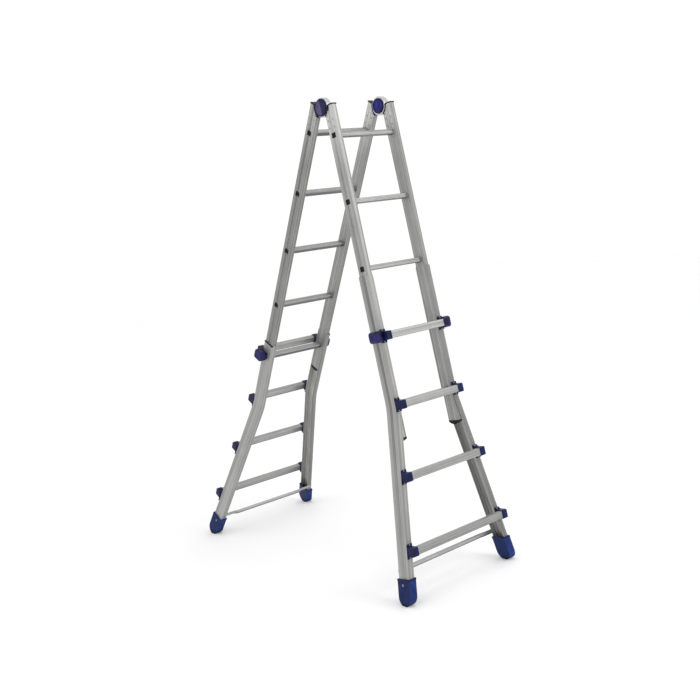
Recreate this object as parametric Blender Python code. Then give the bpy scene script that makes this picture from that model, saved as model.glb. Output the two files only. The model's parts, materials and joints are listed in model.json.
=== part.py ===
"""Multi position ladder: two inner ladders hinged at the top, each in a telescopic outer section.

Metres, +Z up. The hinge axis runs along X, the front leg leans towards -Y and the rear leg towards
+Y, and all four soles stand on the plane z = 0. Each leg is modelled in its own frame: the origin
is on the hinge axis, x lies along the rungs, -y faces outward and -z runs down the stiles.
"""

import math

import bmesh
import bpy
from mathutils import Matrix, Vector

# Driving dimensions
OPENING = math.radians(37.35)
RUNG_PITCH = 0.280
FIRST_RUNG = 0.130
STILE_OFFSET = 0.045
GAP = 0.0003

# Inner ladders
LADDER_WIDTH = 0.338
INNER_RUNGS = 5
STILE_DEPTH = 0.057
STILE_THICK = 0.024
STILE_WALL = 0.002
STILE_TOP = 0.001
STILE_TAIL = 0.140
STILE_CHAMFER = 0.0015
TUBE_CHAMFER = 0.002
TUBE_BORE_CHAMFER = 0.001
PIN_GROOVE_WIDTH = 0.014
PIN_GROOVE_DEEP = 0.003
FACE_GROOVE_WIDTH = 0.003
FACE_GROOVE_DEEP = 0.001
FACE_GROOVE_PLACE = 0.019
RUNG_DEPTH = 0.026
RUNG_HEIGHT = 0.021
RUNG_WALL = 0.0016
RUNG_RECESS = 0.0038

# Outer sections
SLEEVE_PLAY = 0.0005
SLEEVE_WALL = 0.0025
SLEEVE_GROOVE_WIDTHS = (0.016, 0.009)
SLEEVE_GROOVE_DEEP = 0.0022
SLEEVE_RIB_WIDTHS = (0.0134, 0.0110)
SLEEVE_RIB_HIGH = 0.0020
FLARE = math.tan(math.radians(9.83))
BEND_BELOW = 0.290
SLEEVE_END = 0.9975
STEPS = 4
STEP_OUT = 0.0255
STEP_DEPTH = 0.025
STEP_HEIGHT = 0.030
STEP_WALL = 0.0015
STEP_END = 0.170
ROD_BELOW = 0.918
ROD_RADIUS = 0.007
ROD_STANDS = 0.0052
ROD_SIDES = 16
ROD_TAB = (0.068, 0.003, 0.018)
ROD_TAB_PAST_MIDDLE = 0.012

# Rungs that each outer section hangs from, counted from the top, and its length above that rung
FRONT_LOCKED_AT = 4
REAR_LOCKED_AT = 5
FRONT_SLEEVE_ABOVE = 0.252
REAR_SLEEVE_ABOVE = 0.073

# Step brackets and locks
BRACKET_X = (0.1465, 0.1735)
EAR_HALF = 0.028
EAR_THICK = 0.004
EAR_BEND = 0.0095
SOCKET_HALF = 0.019
SOCKET_OUT = 0.041
SOCKET_CORNER = 0.003
LOCK_PLATE = 0.004
LOCK_PLATE_SHORT = 0.004
LOCK_PLATE_INSET = 0.001
LOCK_BACK = -0.036
LOCK_PIN_RADIUS = 0.005
LOCK_PIN_TIP = 0.167
LOCK_PIN_ROOT = 0.010
KNOB_THICK = 0.033
KNOB_OUT = 0.018
KNOB_HALF = 0.0235
KNOB_CORNER = 0.009

# Feet
FOOT_RADIUS = 0.036
FOOT_ARC_STEPS = 16
FOOT_THICK = 0.038
FOOT_CENTRE = 1.008
FOOT_TOP = 0.942
SOLE_CUT = 0.002

# Hinges
DRUM_RADIUS = 0.041
DRUM_CLEAR = 0.0445
DRUM_X = (0.1435, 0.1680)
ARM_X = (0.1480, 0.1632)
ARM_SIDE_GAP = 0.0003
ARM_TOP = 0.004
ARM_END = 0.112
TONGUE_HALF = 0.003
TONGUE_PLAY = 0.0003
SLOT_RADIUS = 0.0423
CHEEK_RADIUS = 0.043
HINGE_PIN_RADIUS = 0.008
HINGE_CAP = (0.037, 0.1683, 0.1735)
HINGE_CAP_ROOT = 0.002
HINGE_PIN_END = 0.1470
RELEASE_KNOB = (0.033, 0.1372, 0.1442)
RELEASE_BORE_END = 0.1402
RELEASE_POCKET = (0.0335, 0.1505)

# What follows from those dimensions
STILE_OUTER = LADDER_WIDTH / 2
STILE_INNER = STILE_OUTER - STILE_THICK
SLEEVE_OUTER = STILE_OUTER + SLEEVE_PLAY + SLEEVE_WALL
SLEEVE_HALF_DEPTH = STILE_DEPTH / 2 + SLEEVE_PLAY + SLEEVE_WALL
SLEEVE_MIDDLE = (STILE_INNER + SLEEVE_OUTER) / 2
FLANGE_OUT = STILE_OFFSET + SLEEVE_HALF_DEPTH
ARM_MIDDLE = sum(ARM_X) / 2
RIM = LADDER_WIDTH
ROUND_SIDES = 32
CAP_SIDES = 48
DRUM_SIDES = 64
CUT_PAST = 0.01
FLOOR = ((-1, -3, -1), (1, 3, 0))
FRONT_HANG = FIRST_RUNG + (FRONT_LOCKED_AT - 1) * RUNG_PITCH
REAR_HANG = FIRST_RUNG + (REAR_LOCKED_AT - 1) * RUNG_PITCH

# A mesh's own z turned to run along X, for outlines drawn as (y, z)
ALONG_X = Matrix(((0, 0, 1, 0), (1, 0, 0, 0), (0, 1, 0, 0), (0, 0, 0, 1)))
SIDES = {"left": -1, "right": 1}


def clear_scene():
    for old in list(bpy.data.objects):
        bpy.data.objects.remove(old)


def new_collection(name):
    collection = bpy.data.collections.new(name)
    bpy.context.scene.collection.children.link(collection)
    return collection


def new_material(name, colour, roughness, metallic):
    material = bpy.data.materials.new(name)
    material.use_nodes = True
    shader = material.node_tree.nodes["Principled BSDF"]
    shader.inputs["Base Color"].default_value = (*colour, 1)
    shader.inputs["Roughness"].default_value = roughness
    shader.inputs["Metallic"].default_value = metallic
    return material


def new_empty(name, parent, location=(0, 0, 0), rotation=(0, 0, 0)):
    empty = bpy.data.objects.new(name, None)
    empty.location = location
    empty.rotation_euler = rotation
    empty.parent = parent
    PARTS.objects.link(empty)
    return empty


def new_part(name, mesh, material, parent):
    """A sub-part of the ladder with its own copy of the material."""
    mesh.name = name
    own = material.copy()
    own.name = name
    mesh.materials.clear()
    mesh.materials.append(own)
    part = bpy.data.objects.new(name, mesh)
    part.parent = parent
    PARTS.objects.link(part)
    return part


def new_cutter(name, mesh, parent):
    """A helper shape that Boolean modifiers use, and that isn't part of the ladder."""
    cutter = bpy.data.objects.new(name, mesh)
    cutter.parent = parent
    cutter.hide_render = True
    cutter.display_type = "WIRE"
    CUTTERS.objects.link(cutter)
    return cutter


def add_boolean(part, other, operation="DIFFERENCE"):
    modifier = part.modifiers.new(f"{operation.lower()} {other.name}", "BOOLEAN")
    modifier.operation = operation
    modifier.solver = "EXACT"
    modifier.object = other


def boxes_mesh(name, boxes):
    """One mesh of separate boxes, each given by its lowest and highest corner."""
    shape = bmesh.new()
    for low, high in boxes:
        low, high = Vector(low), Vector(high)
        place = Matrix.Translation((low + high) / 2) @ Matrix.Diagonal((*(high - low), 1))
        bmesh.ops.create_cube(shape, size=1, matrix=place)
    mesh = bpy.data.meshes.new(name)
    shape.to_mesh(mesh)
    shape.free()
    return mesh


def rounds_mesh(name, rounds, sides=ROUND_SIDES):
    """One mesh of separate cylinders along X, each given by radius, two x values, y and z."""
    shape = bmesh.new()
    for radius, start, end, y, z in rounds:
        place = Matrix.Translation(((start + end) / 2, y, z)) @ ALONG_X
        bmesh.ops.create_cone(
            shape, cap_ends=True, segments=sides, radius1=radius, radius2=radius,
            depth=abs(end - start), matrix=place,
        )
    mesh = bpy.data.meshes.new(name)
    shape.to_mesh(mesh)
    shape.free()
    mesh.shade_smooth()
    mesh.set_sharp_from_angle(angle=math.radians(30))
    return mesh


def extruded_mesh(name, outlines, start, end, place=None):
    """A flat outline, less the holes inside it, extruded from start to end along its normal."""
    curve = bpy.data.curves.new(name, "CURVE")
    curve.dimensions = "2D"
    curve.fill_mode = "BOTH"
    curve.extrude = abs(end - start) / 2
    for outline in outlines:
        spline = curve.splines.new("POLY")
        spline.points.add(len(outline) - 1)
        for point, (x, y) in zip(spline.points, outline):
            point.co = (x, y, 0, 1)
        spline.use_cyclic_u = True
    drawn = bpy.data.objects.new(name, curve)
    bpy.context.scene.collection.objects.link(drawn)
    graph = bpy.context.evaluated_depsgraph_get()
    mesh = bpy.data.meshes.new_from_object(drawn.evaluated_get(graph))
    bpy.data.objects.remove(drawn)
    shape = bmesh.new()
    shape.from_mesh(mesh)
    bmesh.ops.remove_doubles(shape, verts=shape.verts, dist=1e-6)
    bmesh.ops.dissolve_limit(
        shape, angle_limit=math.radians(0.1), verts=shape.verts, edges=shape.edges
    )
    bmesh.ops.transform(shape, matrix=Matrix.Translation((0, 0, (start + end) / 2)), verts=shape.verts)
    bmesh.ops.transform(shape, matrix=place or Matrix.Identity(4), verts=shape.verts)
    bmesh.ops.recalc_face_normals(shape, faces=shape.faces)
    shape.to_mesh(mesh)
    shape.free()
    return mesh


def mirrored(outline, side):
    return [(side * x, y) for x, y in outline]


def chamfered(half_x, half_y, corner, centre=(0, 0)):
    """A rectangle with its four corners cut off."""
    outline = []
    for sign_x, sign_y in ((1, 1), (-1, 1), (-1, -1), (1, -1)):
        near_x = (sign_x * half_x, sign_y * (half_y - corner))
        near_y = (sign_x * (half_x - corner), sign_y * half_y)
        outline += [near_x, near_y] if sign_x == sign_y else [near_y, near_x]
    return [(x + centre[0], y + centre[1]) for x, y in outline]


def rounded(half_x, half_y, radius, centre, steps=6):
    """A rectangle with quarter-circle corners."""
    outline = []
    for corner, (sign_x, sign_y) in enumerate(((1, 1), (-1, 1), (-1, -1), (1, -1))):
        for step in range(steps + 1):
            angle = math.pi / 2 * (corner + step / steps)
            x = sign_x * (half_x - radius) + radius * math.cos(angle)
            y = sign_y * (half_y - radius) + radius * math.sin(angle)
            outline.append((centre[0] + x, centre[1] + y))
    return outline


def grooved_line(x, start, end, groove, width, deep):
    """A straight side at x from start to end, with one groove cut into it around the point groove."""
    turn = 1 if end > start else -1
    half = turn * width / 2
    return [(x, start), (x, groove - half), (x + deep, groove - half),
            (x + deep, groove + half), (x, groove + half), (x, end)]


def pressed_line(x, start, end, widths, deep):
    """A straight side at x, with a groove with sloping sides pressed into it along the stile's middle."""
    turn = 1 if end > start else -1
    wide, narrow = (turn * width / 2 for width in widths)
    middle = -STILE_OFFSET
    return [(x, start), (x, middle - wide), (x + deep, middle - narrow),
            (x + deep, middle + narrow), (x, middle + wide), (x, end)]


def flare_at(below):
    """How far the outer stiles have moved outward at this distance below the first step."""
    return max(0.0, below - BEND_BELOW) * FLARE


def flare_mesh(mesh, side, hang):
    """Moves a mesh sideways with the outer stiles, which spread below their bend."""
    for vertex in mesh.vertices:
        vertex.co.x += side * flare_at(-vertex.co.z - hang)


def make_stile(leg, side_name, rung_holes, hinge_clearance):
    side = leg.sides[side_name]
    half = STILE_DEPTH / 2
    outward, inward = -STILE_OFFSET - half, -STILE_OFFSET + half
    cut = STILE_CHAMFER
    inner_face = grooved_line(STILE_INNER, inward - cut, -STILE_OFFSET, inward - FACE_GROOVE_PLACE,
                              FACE_GROOVE_WIDTH, FACE_GROOVE_DEEP)[:-1]
    inner_face += grooved_line(STILE_INNER, -STILE_OFFSET, outward + cut, outward + FACE_GROOVE_PLACE,
                               FACE_GROOVE_WIDTH, FACE_GROOVE_DEEP)[1:]
    outline = inner_face + [(STILE_INNER + cut, outward), (STILE_OUTER - cut, outward)]
    outline += grooved_line(STILE_OUTER, outward + cut, inward - cut, -STILE_OFFSET,
                            PIN_GROOVE_WIDTH, -PIN_GROOVE_DEEP)
    outline += [(STILE_OUTER - cut, inward), (STILE_INNER + cut, inward)]
    wall_line = STILE_INNER + STILE_WALL
    hollow = [(wall_line, inward - STILE_WALL), (wall_line, outward + STILE_WALL)]
    hollow += grooved_line(STILE_OUTER - STILE_WALL, outward + STILE_WALL, inward - STILE_WALL,
                           -STILE_OFFSET, PIN_GROOVE_WIDTH + 2 * STILE_WALL, -PIN_GROOVE_DEEP)
    length = FIRST_RUNG + (INNER_RUNGS - 1) * RUNG_PITCH + STILE_TAIL
    mesh = extruded_mesh("stile", [mirrored(outline, side), mirrored(hollow, side)], -length, -STILE_TOP)
    stile = new_part(f"{leg.name}_stile_{side_name}", mesh, ALUMINIUM, leg.inner)
    add_boolean(stile, hinge_clearance)
    add_boolean(stile, rung_holes)


def make_rungs(leg):
    half_y, half_z = RUNG_DEPTH / 2, RUNG_HEIGHT / 2
    outline = chamfered(half_y, half_z, TUBE_CHAMFER)
    hollow = chamfered(half_y - RUNG_WALL, half_z - RUNG_WALL, TUBE_BORE_CHAMFER)
    reach = STILE_OUTER - RUNG_RECESS
    for index in range(INNER_RUNGS):
        mesh = extruded_mesh("rung", [outline, hollow], -reach, reach, ALONG_X)
        rung = new_part(f"{leg.name}_rung_{index + 1}", mesh, ALUMINIUM, leg.inner)
        rung.location = (0, -STILE_OFFSET, -FIRST_RUNG - index * RUNG_PITCH)


def make_rung_holes(leg):
    boxes = []
    for index in range(INNER_RUNGS):
        middle = Vector((0, -STILE_OFFSET, -FIRST_RUNG - index * RUNG_PITCH))
        half = Vector((RIM, RUNG_DEPTH / 2 + GAP, RUNG_HEIGHT / 2 + GAP))
        boxes.append((middle - half, middle + half))
    return new_cutter(f"{leg.name}_rung_holes", boxes_mesh("rung_holes", boxes), leg.inner)


def make_sleeve(leg, side_name, pin_holes):
    """The bent C channel that runs on the outer face of an inner stile.

    The groove along its web stands as a rib inside, which runs in the inner stile's own groove.
    """
    side = leg.sides[side_name]
    outward, inward = -FLANGE_OUT, -STILE_OFFSET + SLEEVE_HALF_DEPTH
    cut = STILE_CHAMFER
    web = SLEEVE_OUTER - SLEEVE_WALL
    outline = [(STILE_INNER, outward + SLEEVE_WALL), (STILE_INNER, outward), (SLEEVE_OUTER - cut, outward)]
    outline += pressed_line(SLEEVE_OUTER, outward + cut, inward - cut,
                            SLEEVE_GROOVE_WIDTHS, -SLEEVE_GROOVE_DEEP)
    outline += [(SLEEVE_OUTER - cut, inward), (STILE_INNER, inward), (STILE_INNER, inward - SLEEVE_WALL)]
    outline += pressed_line(web, inward - SLEEVE_WALL, outward + SLEEVE_WALL,
                            SLEEVE_RIB_WIDTHS, -SLEEVE_RIB_HIGH)
    bottom, top = -leg.hang - SLEEVE_END, leg.sleeve_above - leg.hang
    mesh = extruded_mesh("sleeve", [mirrored(outline, side)], bottom, top)
    shape = bmesh.new()
    shape.from_mesh(mesh)
    bmesh.ops.bisect_plane(
        shape, geom=shape.verts[:] + shape.edges[:] + shape.faces[:],
        plane_co=(0, 0, -leg.hang - BEND_BELOW), plane_no=(0, 0, 1),
    )
    shape.to_mesh(mesh)
    shape.free()
    flare_mesh(mesh, side, leg.hang)
    sleeve = new_part(f"{leg.name}_sleeve_{side_name}", mesh, ALUMINIUM, leg.outer)
    add_boolean(sleeve, pin_holes)


def make_steps(leg):
    """The flat tubes across the outer stiles, and the cutter that opens the sockets for them."""
    half_y, half_z = STEP_DEPTH / 2, STEP_HEIGHT / 2
    outline = chamfered(half_y, half_z, TUBE_CHAMFER)
    hollow = chamfered(half_y - STEP_WALL, half_z - STEP_WALL, TUBE_BORE_CHAMFER)
    pockets = []
    for index in range(STEPS):
        below = index * RUNG_PITCH
        reach = STEP_END + flare_at(below)
        mesh = extruded_mesh("step", [outline, hollow], -reach, reach, ALONG_X)
        step = new_part(f"{leg.name}_step_{index + 1}", mesh, ALUMINIUM, leg.outer)
        step.location = (0, -FLANGE_OUT - STEP_OUT, -leg.hang - below)
        room = Vector((reach + GAP, half_y + GAP, half_z + GAP))
        pockets.append((step.location - room, step.location + room))
    return new_cutter(f"{leg.name}_step_pockets", boxes_mesh("step_pockets", pockets), leg.outer)


def bracket_mesh(side, spread):
    """The side profile of a bracket, drawn about the step's level, with ears that follow the stile."""
    half = [(GAP, EAR_HALF), (EAR_THICK, EAR_HALF), (EAR_BEND, SOCKET_HALF),
            (SOCKET_OUT - SOCKET_CORNER, SOCKET_HALF), (SOCKET_OUT, SOCKET_HALF - SOCKET_CORNER)]
    profile = [(-out, z) for out, z in half] + [(-out, -z) for out, z in reversed(half)]
    mesh = extruded_mesh("bracket", [profile], *BRACKET_X, ALONG_X)
    for vertex in mesh.vertices:
        if vertex.co.y > -EAR_BEND / 2:
            vertex.co.x -= vertex.co.z * spread
    mesh.transform(Matrix.Diagonal((side, 1, 1, 1)))
    if side < 0:
        mesh.flip_normals()
    return mesh


def make_brackets(leg, side_name, pockets, pin_holes):
    side = leg.sides[side_name]
    for index in range(STEPS):
        below = index * RUNG_PITCH
        flared = flare_at(below)
        kind = "bracket" if index else "lock_housing"
        name = f"{leg.name}_{kind}_{side_name}" if not index else f"{leg.name}_{kind}_{index + 1}_{side_name}"
        bracket = new_part(name, bracket_mesh(side, FLARE if flared else 0), BLUE, leg.outer)
        bracket.location = (side * flared, -FLANGE_OUT, -leg.hang - below)
        if not index:
            ends = sorted((side * (SLEEVE_OUTER + GAP), side * (SLEEVE_OUTER + GAP + LOCK_PLATE)))
            tall = SOCKET_HALF - LOCK_PLATE_INSET
            plate = boxes_mesh("lock_plate", [((ends[0], -FLANGE_OUT - SOCKET_OUT + LOCK_PLATE_SHORT, -tall),
                                               (ends[1], -FLANGE_OUT - LOCK_BACK, tall))])
            helper = new_cutter(f"{leg.name}_lock_plate_{side_name}", plate, leg.outer)
            helper.location = (0, 0, -leg.hang)
            add_boolean(bracket, helper, "UNION")
            add_boolean(bracket, pin_holes)
        add_boolean(bracket, pockets)


def make_pin_holes(leg):
    mesh = rounds_mesh("pin_holes", [(LOCK_PIN_RADIUS + 2 * GAP, -RIM, RIM, -STILE_OFFSET, -leg.hang)])
    return new_cutter(f"{leg.name}_pin_holes", mesh, leg.outer)


def make_lock_knob(leg, side_name):
    """The block that is pulled outward to free the outer section, with its locking pin."""
    side = leg.sides[side_name]
    start = SLEEVE_OUTER + 2 * GAP + LOCK_PLATE
    joint = new_empty(f"{leg.name}_lock_{side_name}_axis", leg.outer,
                      (side * start, -STILE_OFFSET, -leg.hang))
    from_pin = SLEEVE_HALF_DEPTH
    half = (KNOB_OUT - LOCK_BACK) / 2
    centre = (-from_pin - KNOB_OUT + half, 0)
    outline = rounded(half, KNOB_HALF, KNOB_CORNER, centre)
    ends = sorted((0, side * KNOB_THICK))
    mesh = extruded_mesh("lock_knob", [outline], *ends, ALONG_X)
    knob = new_part(f"{leg.name}_lock_knob_{side_name}", mesh, BLUE, joint)
    pin_line = (LOCK_PIN_RADIUS, side * (LOCK_PIN_TIP - start), side * LOCK_PIN_ROOT, 0, 0)
    pin = rounds_mesh("lock_pin", [pin_line])
    add_boolean(knob, new_cutter(f"{leg.name}_lock_pin_{side_name}", pin, joint), "UNION")


def make_tie_rod(leg):
    """The thin rod across the inside of the outer stiles, with a flat tab at each end.

    Its middle stands less than its radius off the stiles' faces, so that both rods clear each
    other when the ladder is shut with both outer sections pushed in.
    """
    face = -STILE_OFFSET + SLEEVE_HALF_DEPTH + GAP
    tab_x, tab_y, tab_z = ROD_TAB
    tab_end = SLEEVE_MIDDLE + flare_at(ROD_BELOW) + ROD_TAB_PAST_MIDDLE
    reach = tab_end - tab_x / 2
    line = (ROD_RADIUS, -reach, reach, face + ROD_STANDS, -leg.hang - ROD_BELOW)
    mesh = rounds_mesh("tie_rod", [line], ROD_SIDES)
    rod = new_part(f"{leg.name}_tie_rod", mesh, STEEL, leg.outer)
    tabs = []
    for side in SIDES.values():
        low = Vector((min(side * tab_end, side * (tab_end - tab_x)), face, -leg.hang - ROD_BELOW - tab_z / 2))
        tabs.append((low, low + Vector((tab_x, tab_y, tab_z))))
    add_boolean(rod, new_cutter(f"{leg.name}_rod_tabs", boxes_mesh("rod_tabs", tabs), leg.outer), "UNION")


def make_foot(leg, side_name, floor):
    """A rounded cap on the end of an outer stile, cut level where it stands."""
    side = leg.sides[side_name]
    middle = -STILE_OFFSET
    centre = -leg.hang - FOOT_CENTRE
    outline = [(middle + FOOT_RADIUS, -leg.hang - FOOT_TOP), (middle - FOOT_RADIUS, -leg.hang - FOOT_TOP)]
    for step in range(FOOT_ARC_STEPS + 1):
        angle = math.pi * (1 + step / FOOT_ARC_STEPS)
        outline.append((middle + FOOT_RADIUS * math.cos(angle), centre + FOOT_RADIUS * math.sin(angle)))
    ends = sorted((side * (SLEEVE_MIDDLE - FOOT_THICK / 2), side * (SLEEVE_MIDDLE + FOOT_THICK / 2)))
    mesh = extruded_mesh("foot", [outline], *ends, ALONG_X)
    flare_mesh(mesh, side, leg.hang)
    foot = new_part(f"{leg.name}_foot_{side_name}", mesh, BLUE, leg.outer)
    near = min(side * (STILE_INNER - GAP), side * (SLEEVE_OUTER + GAP))
    far = max(side * (STILE_INNER - GAP), side * (SLEEVE_OUTER + GAP))
    pocket = boxes_mesh("foot_pocket", [
        ((near, middle - SLEEVE_HALF_DEPTH - GAP, -leg.hang - SLEEVE_END - GAP),
         (far, middle + SLEEVE_HALF_DEPTH + GAP, -leg.hang - FOOT_TOP + CUT_PAST)),
    ])
    flare_mesh(pocket, side, leg.hang)
    add_boolean(foot, new_cutter(f"{leg.name}_foot_pocket_{side_name}", pocket, leg.outer))
    add_boolean(foot, floor)


def make_hinge_arm(leg, side_name, round_part, cutters):
    """A hinge half: a round end on the axis and a tang that fills the top of the hollow stile."""
    side = leg.sides[side_name]
    half = STILE_DEPTH / 2 - STILE_WALL - ARM_SIDE_GAP
    ends = sorted((side * ARM_X[0], side * ARM_X[1]))
    mesh = boxes_mesh("hinge_arm", [((ends[0], -STILE_OFFSET - half, -ARM_END),
                                     (ends[1], -STILE_OFFSET + half, -ARM_TOP))])
    arm = new_part(f"hinge_{leg.name}_arm_{side_name}", mesh, HINGE_METAL, leg.inner)
    radius, start, end = round_part
    disc = rounds_mesh("hinge_disc", [(radius, side * start, side * end, 0, 0)], CAP_SIDES)
    add_boolean(arm, new_cutter(f"hinge_{leg.name}_disc_{side_name}", disc, leg.inner), "UNION")
    for cutter in cutters:
        add_boolean(arm, cutter)


def make_hinge_pin(side_name, frame):
    """The pivot pin with its wide outer cap."""
    side = SIDES[side_name]
    radius, start, end = HINGE_CAP
    pin_line = (HINGE_PIN_RADIUS, side * HINGE_PIN_END, side * (start + HINGE_CAP_ROOT), 0, 0)
    mesh = rounds_mesh("hinge_pin", [pin_line])
    pin = new_part(f"hinge_pin_{side_name}", mesh, BLUE, frame)
    cap = rounds_mesh("hinge_cap", [(radius, side * start, side * end, 0, 0)], CAP_SIDES)
    add_boolean(pin, new_cutter(f"hinge_cap_{side_name}", cap, frame), "UNION")


def make_release_knob(side_name, frame):
    """The button on the inner side of a hinge, which slides along the pivot pin."""
    side = SIDES[side_name]
    radius, start, end = RELEASE_KNOB
    joint = new_empty(f"hinge_release_{side_name}_axis", frame, (side * start, 0, 0))
    mesh = rounds_mesh("release_knob", [(radius, 0, side * (end - start), 0, 0)], CAP_SIDES)
    knob = new_part(f"hinge_release_knob_{side_name}", mesh, BLUE, joint)
    bore = rounds_mesh("release_bore", [
        (HINGE_PIN_RADIUS + GAP, side * (RELEASE_BORE_END - start), side * (end - start + CUT_PAST), 0, 0),
    ])
    add_boolean(knob, new_cutter(f"hinge_release_bore_{side_name}", bore, joint))


class Leg:
    """The frames of one leg: inner turns about the hinge axis and outer slides along the stiles."""

    def __init__(self, name, top, lean, turned, hang, sleeve_above):
        self.name = name
        self.hang = hang
        self.sleeve_above = sleeve_above
        self.sides = {"left": 1, "right": -1} if turned else SIDES
        swing = new_empty(f"{name}_lean", top, rotation=(lean, 0, 0))
        self.inner = new_empty(f"{name}_inner", swing)
        if turned:
            self.inner.rotation_euler.z = math.pi
        self.outer = new_empty(f"{name}_outer", self.inner)


def front_lean():
    """The lean from the vertical that puts the feet of both legs on one level at this opening."""
    front, rear = FRONT_HANG + FOOT_CENTRE, REAR_HANG + FOOT_CENTRE
    across = front - rear * math.cos(OPENING) + STILE_OFFSET * math.sin(OPENING)
    along = rear * math.sin(OPENING) + STILE_OFFSET * (1 + math.cos(OPENING))
    return math.atan2(across, along)


def centre_over_origin(top):
    """Moves the ladder along Y until its feet and steps reach equally far to both sides."""
    bpy.context.view_layer.update()
    graph = bpy.context.evaluated_depsgraph_get()
    reach = []
    for part in PARTS.objects:
        if part.type == "MESH":
            shown = part.evaluated_get(graph)
            reach += [(shown.matrix_world @ vertex.co).y for vertex in shown.data.vertices]
    top.location.y -= (min(reach) + max(reach)) / 2


def make_ladder():
    lean = front_lean()
    to_sole = (FRONT_HANG + FOOT_CENTRE) * math.cos(lean) - STILE_OFFSET * math.sin(lean)
    height = to_sole + FOOT_RADIUS - SOLE_CUT
    top = new_empty("hinge_axis", None, (0, 0, height))
    front = Leg("front", top, -lean, False, FRONT_HANG, FRONT_SLEEVE_ABOVE)
    rear = Leg("rear", top, OPENING - lean, True, REAR_HANG, REAR_SLEEVE_ABOVE)
    floor = new_cutter("floor", boxes_mesh("floor", [FLOOR]), None)

    clearance_mesh = rounds_mesh("clearance", [(DRUM_CLEAR, -RIM, RIM, 0, 0)], DRUM_SIDES)
    clearance = new_cutter("hinge_clearance", clearance_mesh, top)
    bore = new_cutter("hinge_bore", rounds_mesh("bore", [(HINGE_PIN_RADIUS + GAP, -RIM, RIM, 0, 0)]), top)
    slot_half = TONGUE_HALF + TONGUE_PLAY
    slots, cheeks, pockets = [], [], []
    pocket_radius, pocket_floor = RELEASE_POCKET
    for side in SIDES.values():
        slots.append((SLOT_RADIUS, side * (ARM_MIDDLE - slot_half), side * (ARM_MIDDLE + slot_half), 0, 0))
        inner_cheek = (STILE_INNER - CUT_PAST, ARM_MIDDLE - TONGUE_HALF)
        outer_cheek = (ARM_MIDDLE + TONGUE_HALF, RIM)
        for start, end in (inner_cheek, outer_cheek):
            cheeks.append((CHEEK_RADIUS, side * start, side * end, 0, 0))
        pockets.append((pocket_radius, side * (DRUM_X[0] - CUT_PAST), side * pocket_floor, 0, 0))
    slot_cutter = new_cutter("hinge_slots", rounds_mesh("slots", slots, DRUM_SIDES), top)
    cheek_cutter = new_cutter("hinge_cheeks", rounds_mesh("cheeks", cheeks, DRUM_SIDES), top)
    pocket_cutter = new_cutter("hinge_release_pockets", rounds_mesh("pockets", pockets, CAP_SIDES), top)
    tongue = (DRUM_RADIUS, ARM_MIDDLE - TONGUE_HALF, ARM_MIDDLE + TONGUE_HALF)

    for leg in (front, rear):
        rung_holes = make_rung_holes(leg)
        pin_holes = make_pin_holes(leg)
        make_rungs(leg)
        pockets = make_steps(leg)
        make_tie_rod(leg)
        for side_name in SIDES:
            make_stile(leg, side_name, rung_holes, clearance)
            make_sleeve(leg, side_name, pin_holes)
            make_brackets(leg, side_name, pockets, pin_holes)
            make_lock_knob(leg, side_name)
            make_foot(leg, side_name, floor)
    for side_name in SIDES:
        make_hinge_arm(front, side_name, (DRUM_RADIUS, *DRUM_X), (slot_cutter, bore, pocket_cutter))
        make_hinge_arm(rear, side_name, tongue, (cheek_cutter, bore))
        make_hinge_pin(side_name, front.inner)
        make_release_knob(side_name, front.inner)
    centre_over_origin(top)


clear_scene()
PARTS = new_collection("Multi position ladder")
CUTTERS = new_collection("Ladder cutters")
ALUMINIUM = new_material("aluminium", (0.60, 0.60, 0.58), 0.42, 0.85)
STEEL = new_material("zinc_plated_steel", (0.62, 0.62, 0.62), 0.35, 1.0)
HINGE_METAL = new_material("hinge_metal", (0.55, 0.55, 0.55), 0.35, 1.0)
BLUE = new_material("blue_plastic", (0.02, 0.03, 0.16), 0.4, 0.0)
make_ladder()
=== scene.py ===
"""The looks of the multi position ladder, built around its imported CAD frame.

Metres, +Z up. Each leg has its own frame: the origin is on the hinge axis, x lies along the rungs,
-y faces outward and z runs up the stiles. Pieces are drawn there and ride on the CAD's bodies.
"""

import json
import math

import bmesh
import bpy
import numpy as np
from mathutils import Matrix, Vector


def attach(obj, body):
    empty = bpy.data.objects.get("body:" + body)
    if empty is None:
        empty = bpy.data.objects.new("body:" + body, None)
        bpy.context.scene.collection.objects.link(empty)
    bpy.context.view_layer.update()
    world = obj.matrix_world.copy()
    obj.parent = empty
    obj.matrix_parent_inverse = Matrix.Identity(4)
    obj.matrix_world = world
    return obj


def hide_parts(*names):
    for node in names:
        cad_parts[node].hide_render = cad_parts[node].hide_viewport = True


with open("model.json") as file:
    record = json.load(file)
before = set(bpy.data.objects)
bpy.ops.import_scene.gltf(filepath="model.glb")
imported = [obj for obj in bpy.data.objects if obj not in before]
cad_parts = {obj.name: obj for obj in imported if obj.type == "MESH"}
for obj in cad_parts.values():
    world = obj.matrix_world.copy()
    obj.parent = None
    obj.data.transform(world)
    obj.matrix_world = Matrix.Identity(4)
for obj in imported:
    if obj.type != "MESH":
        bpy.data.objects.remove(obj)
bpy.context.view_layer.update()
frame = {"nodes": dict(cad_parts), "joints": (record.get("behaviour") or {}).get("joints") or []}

# Camera, measured from the middle of the hinge axis
CAMERA_PLACE = Vector((-2.5636, -3.1015, -0.4404))
CAMERA_YAW = math.radians(38.2526)
CAMERA_PITCH = math.radians(3.4976)
CAMERA_ROLL = math.radians(-6.8032)
CAMERA_LENS = 48.462
CAMERA_SHIFT = -0.1143

# Counts, and lengths along a leg below its first step
RUNGS = 5
STEPS = 4
BEND_BELOW = 0.290
BEND_HALF = 0.030
BEND_RINGS = 10
FLARE = math.tan(math.radians(9.83))
FOOT_CENTRE = 1.008

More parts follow.
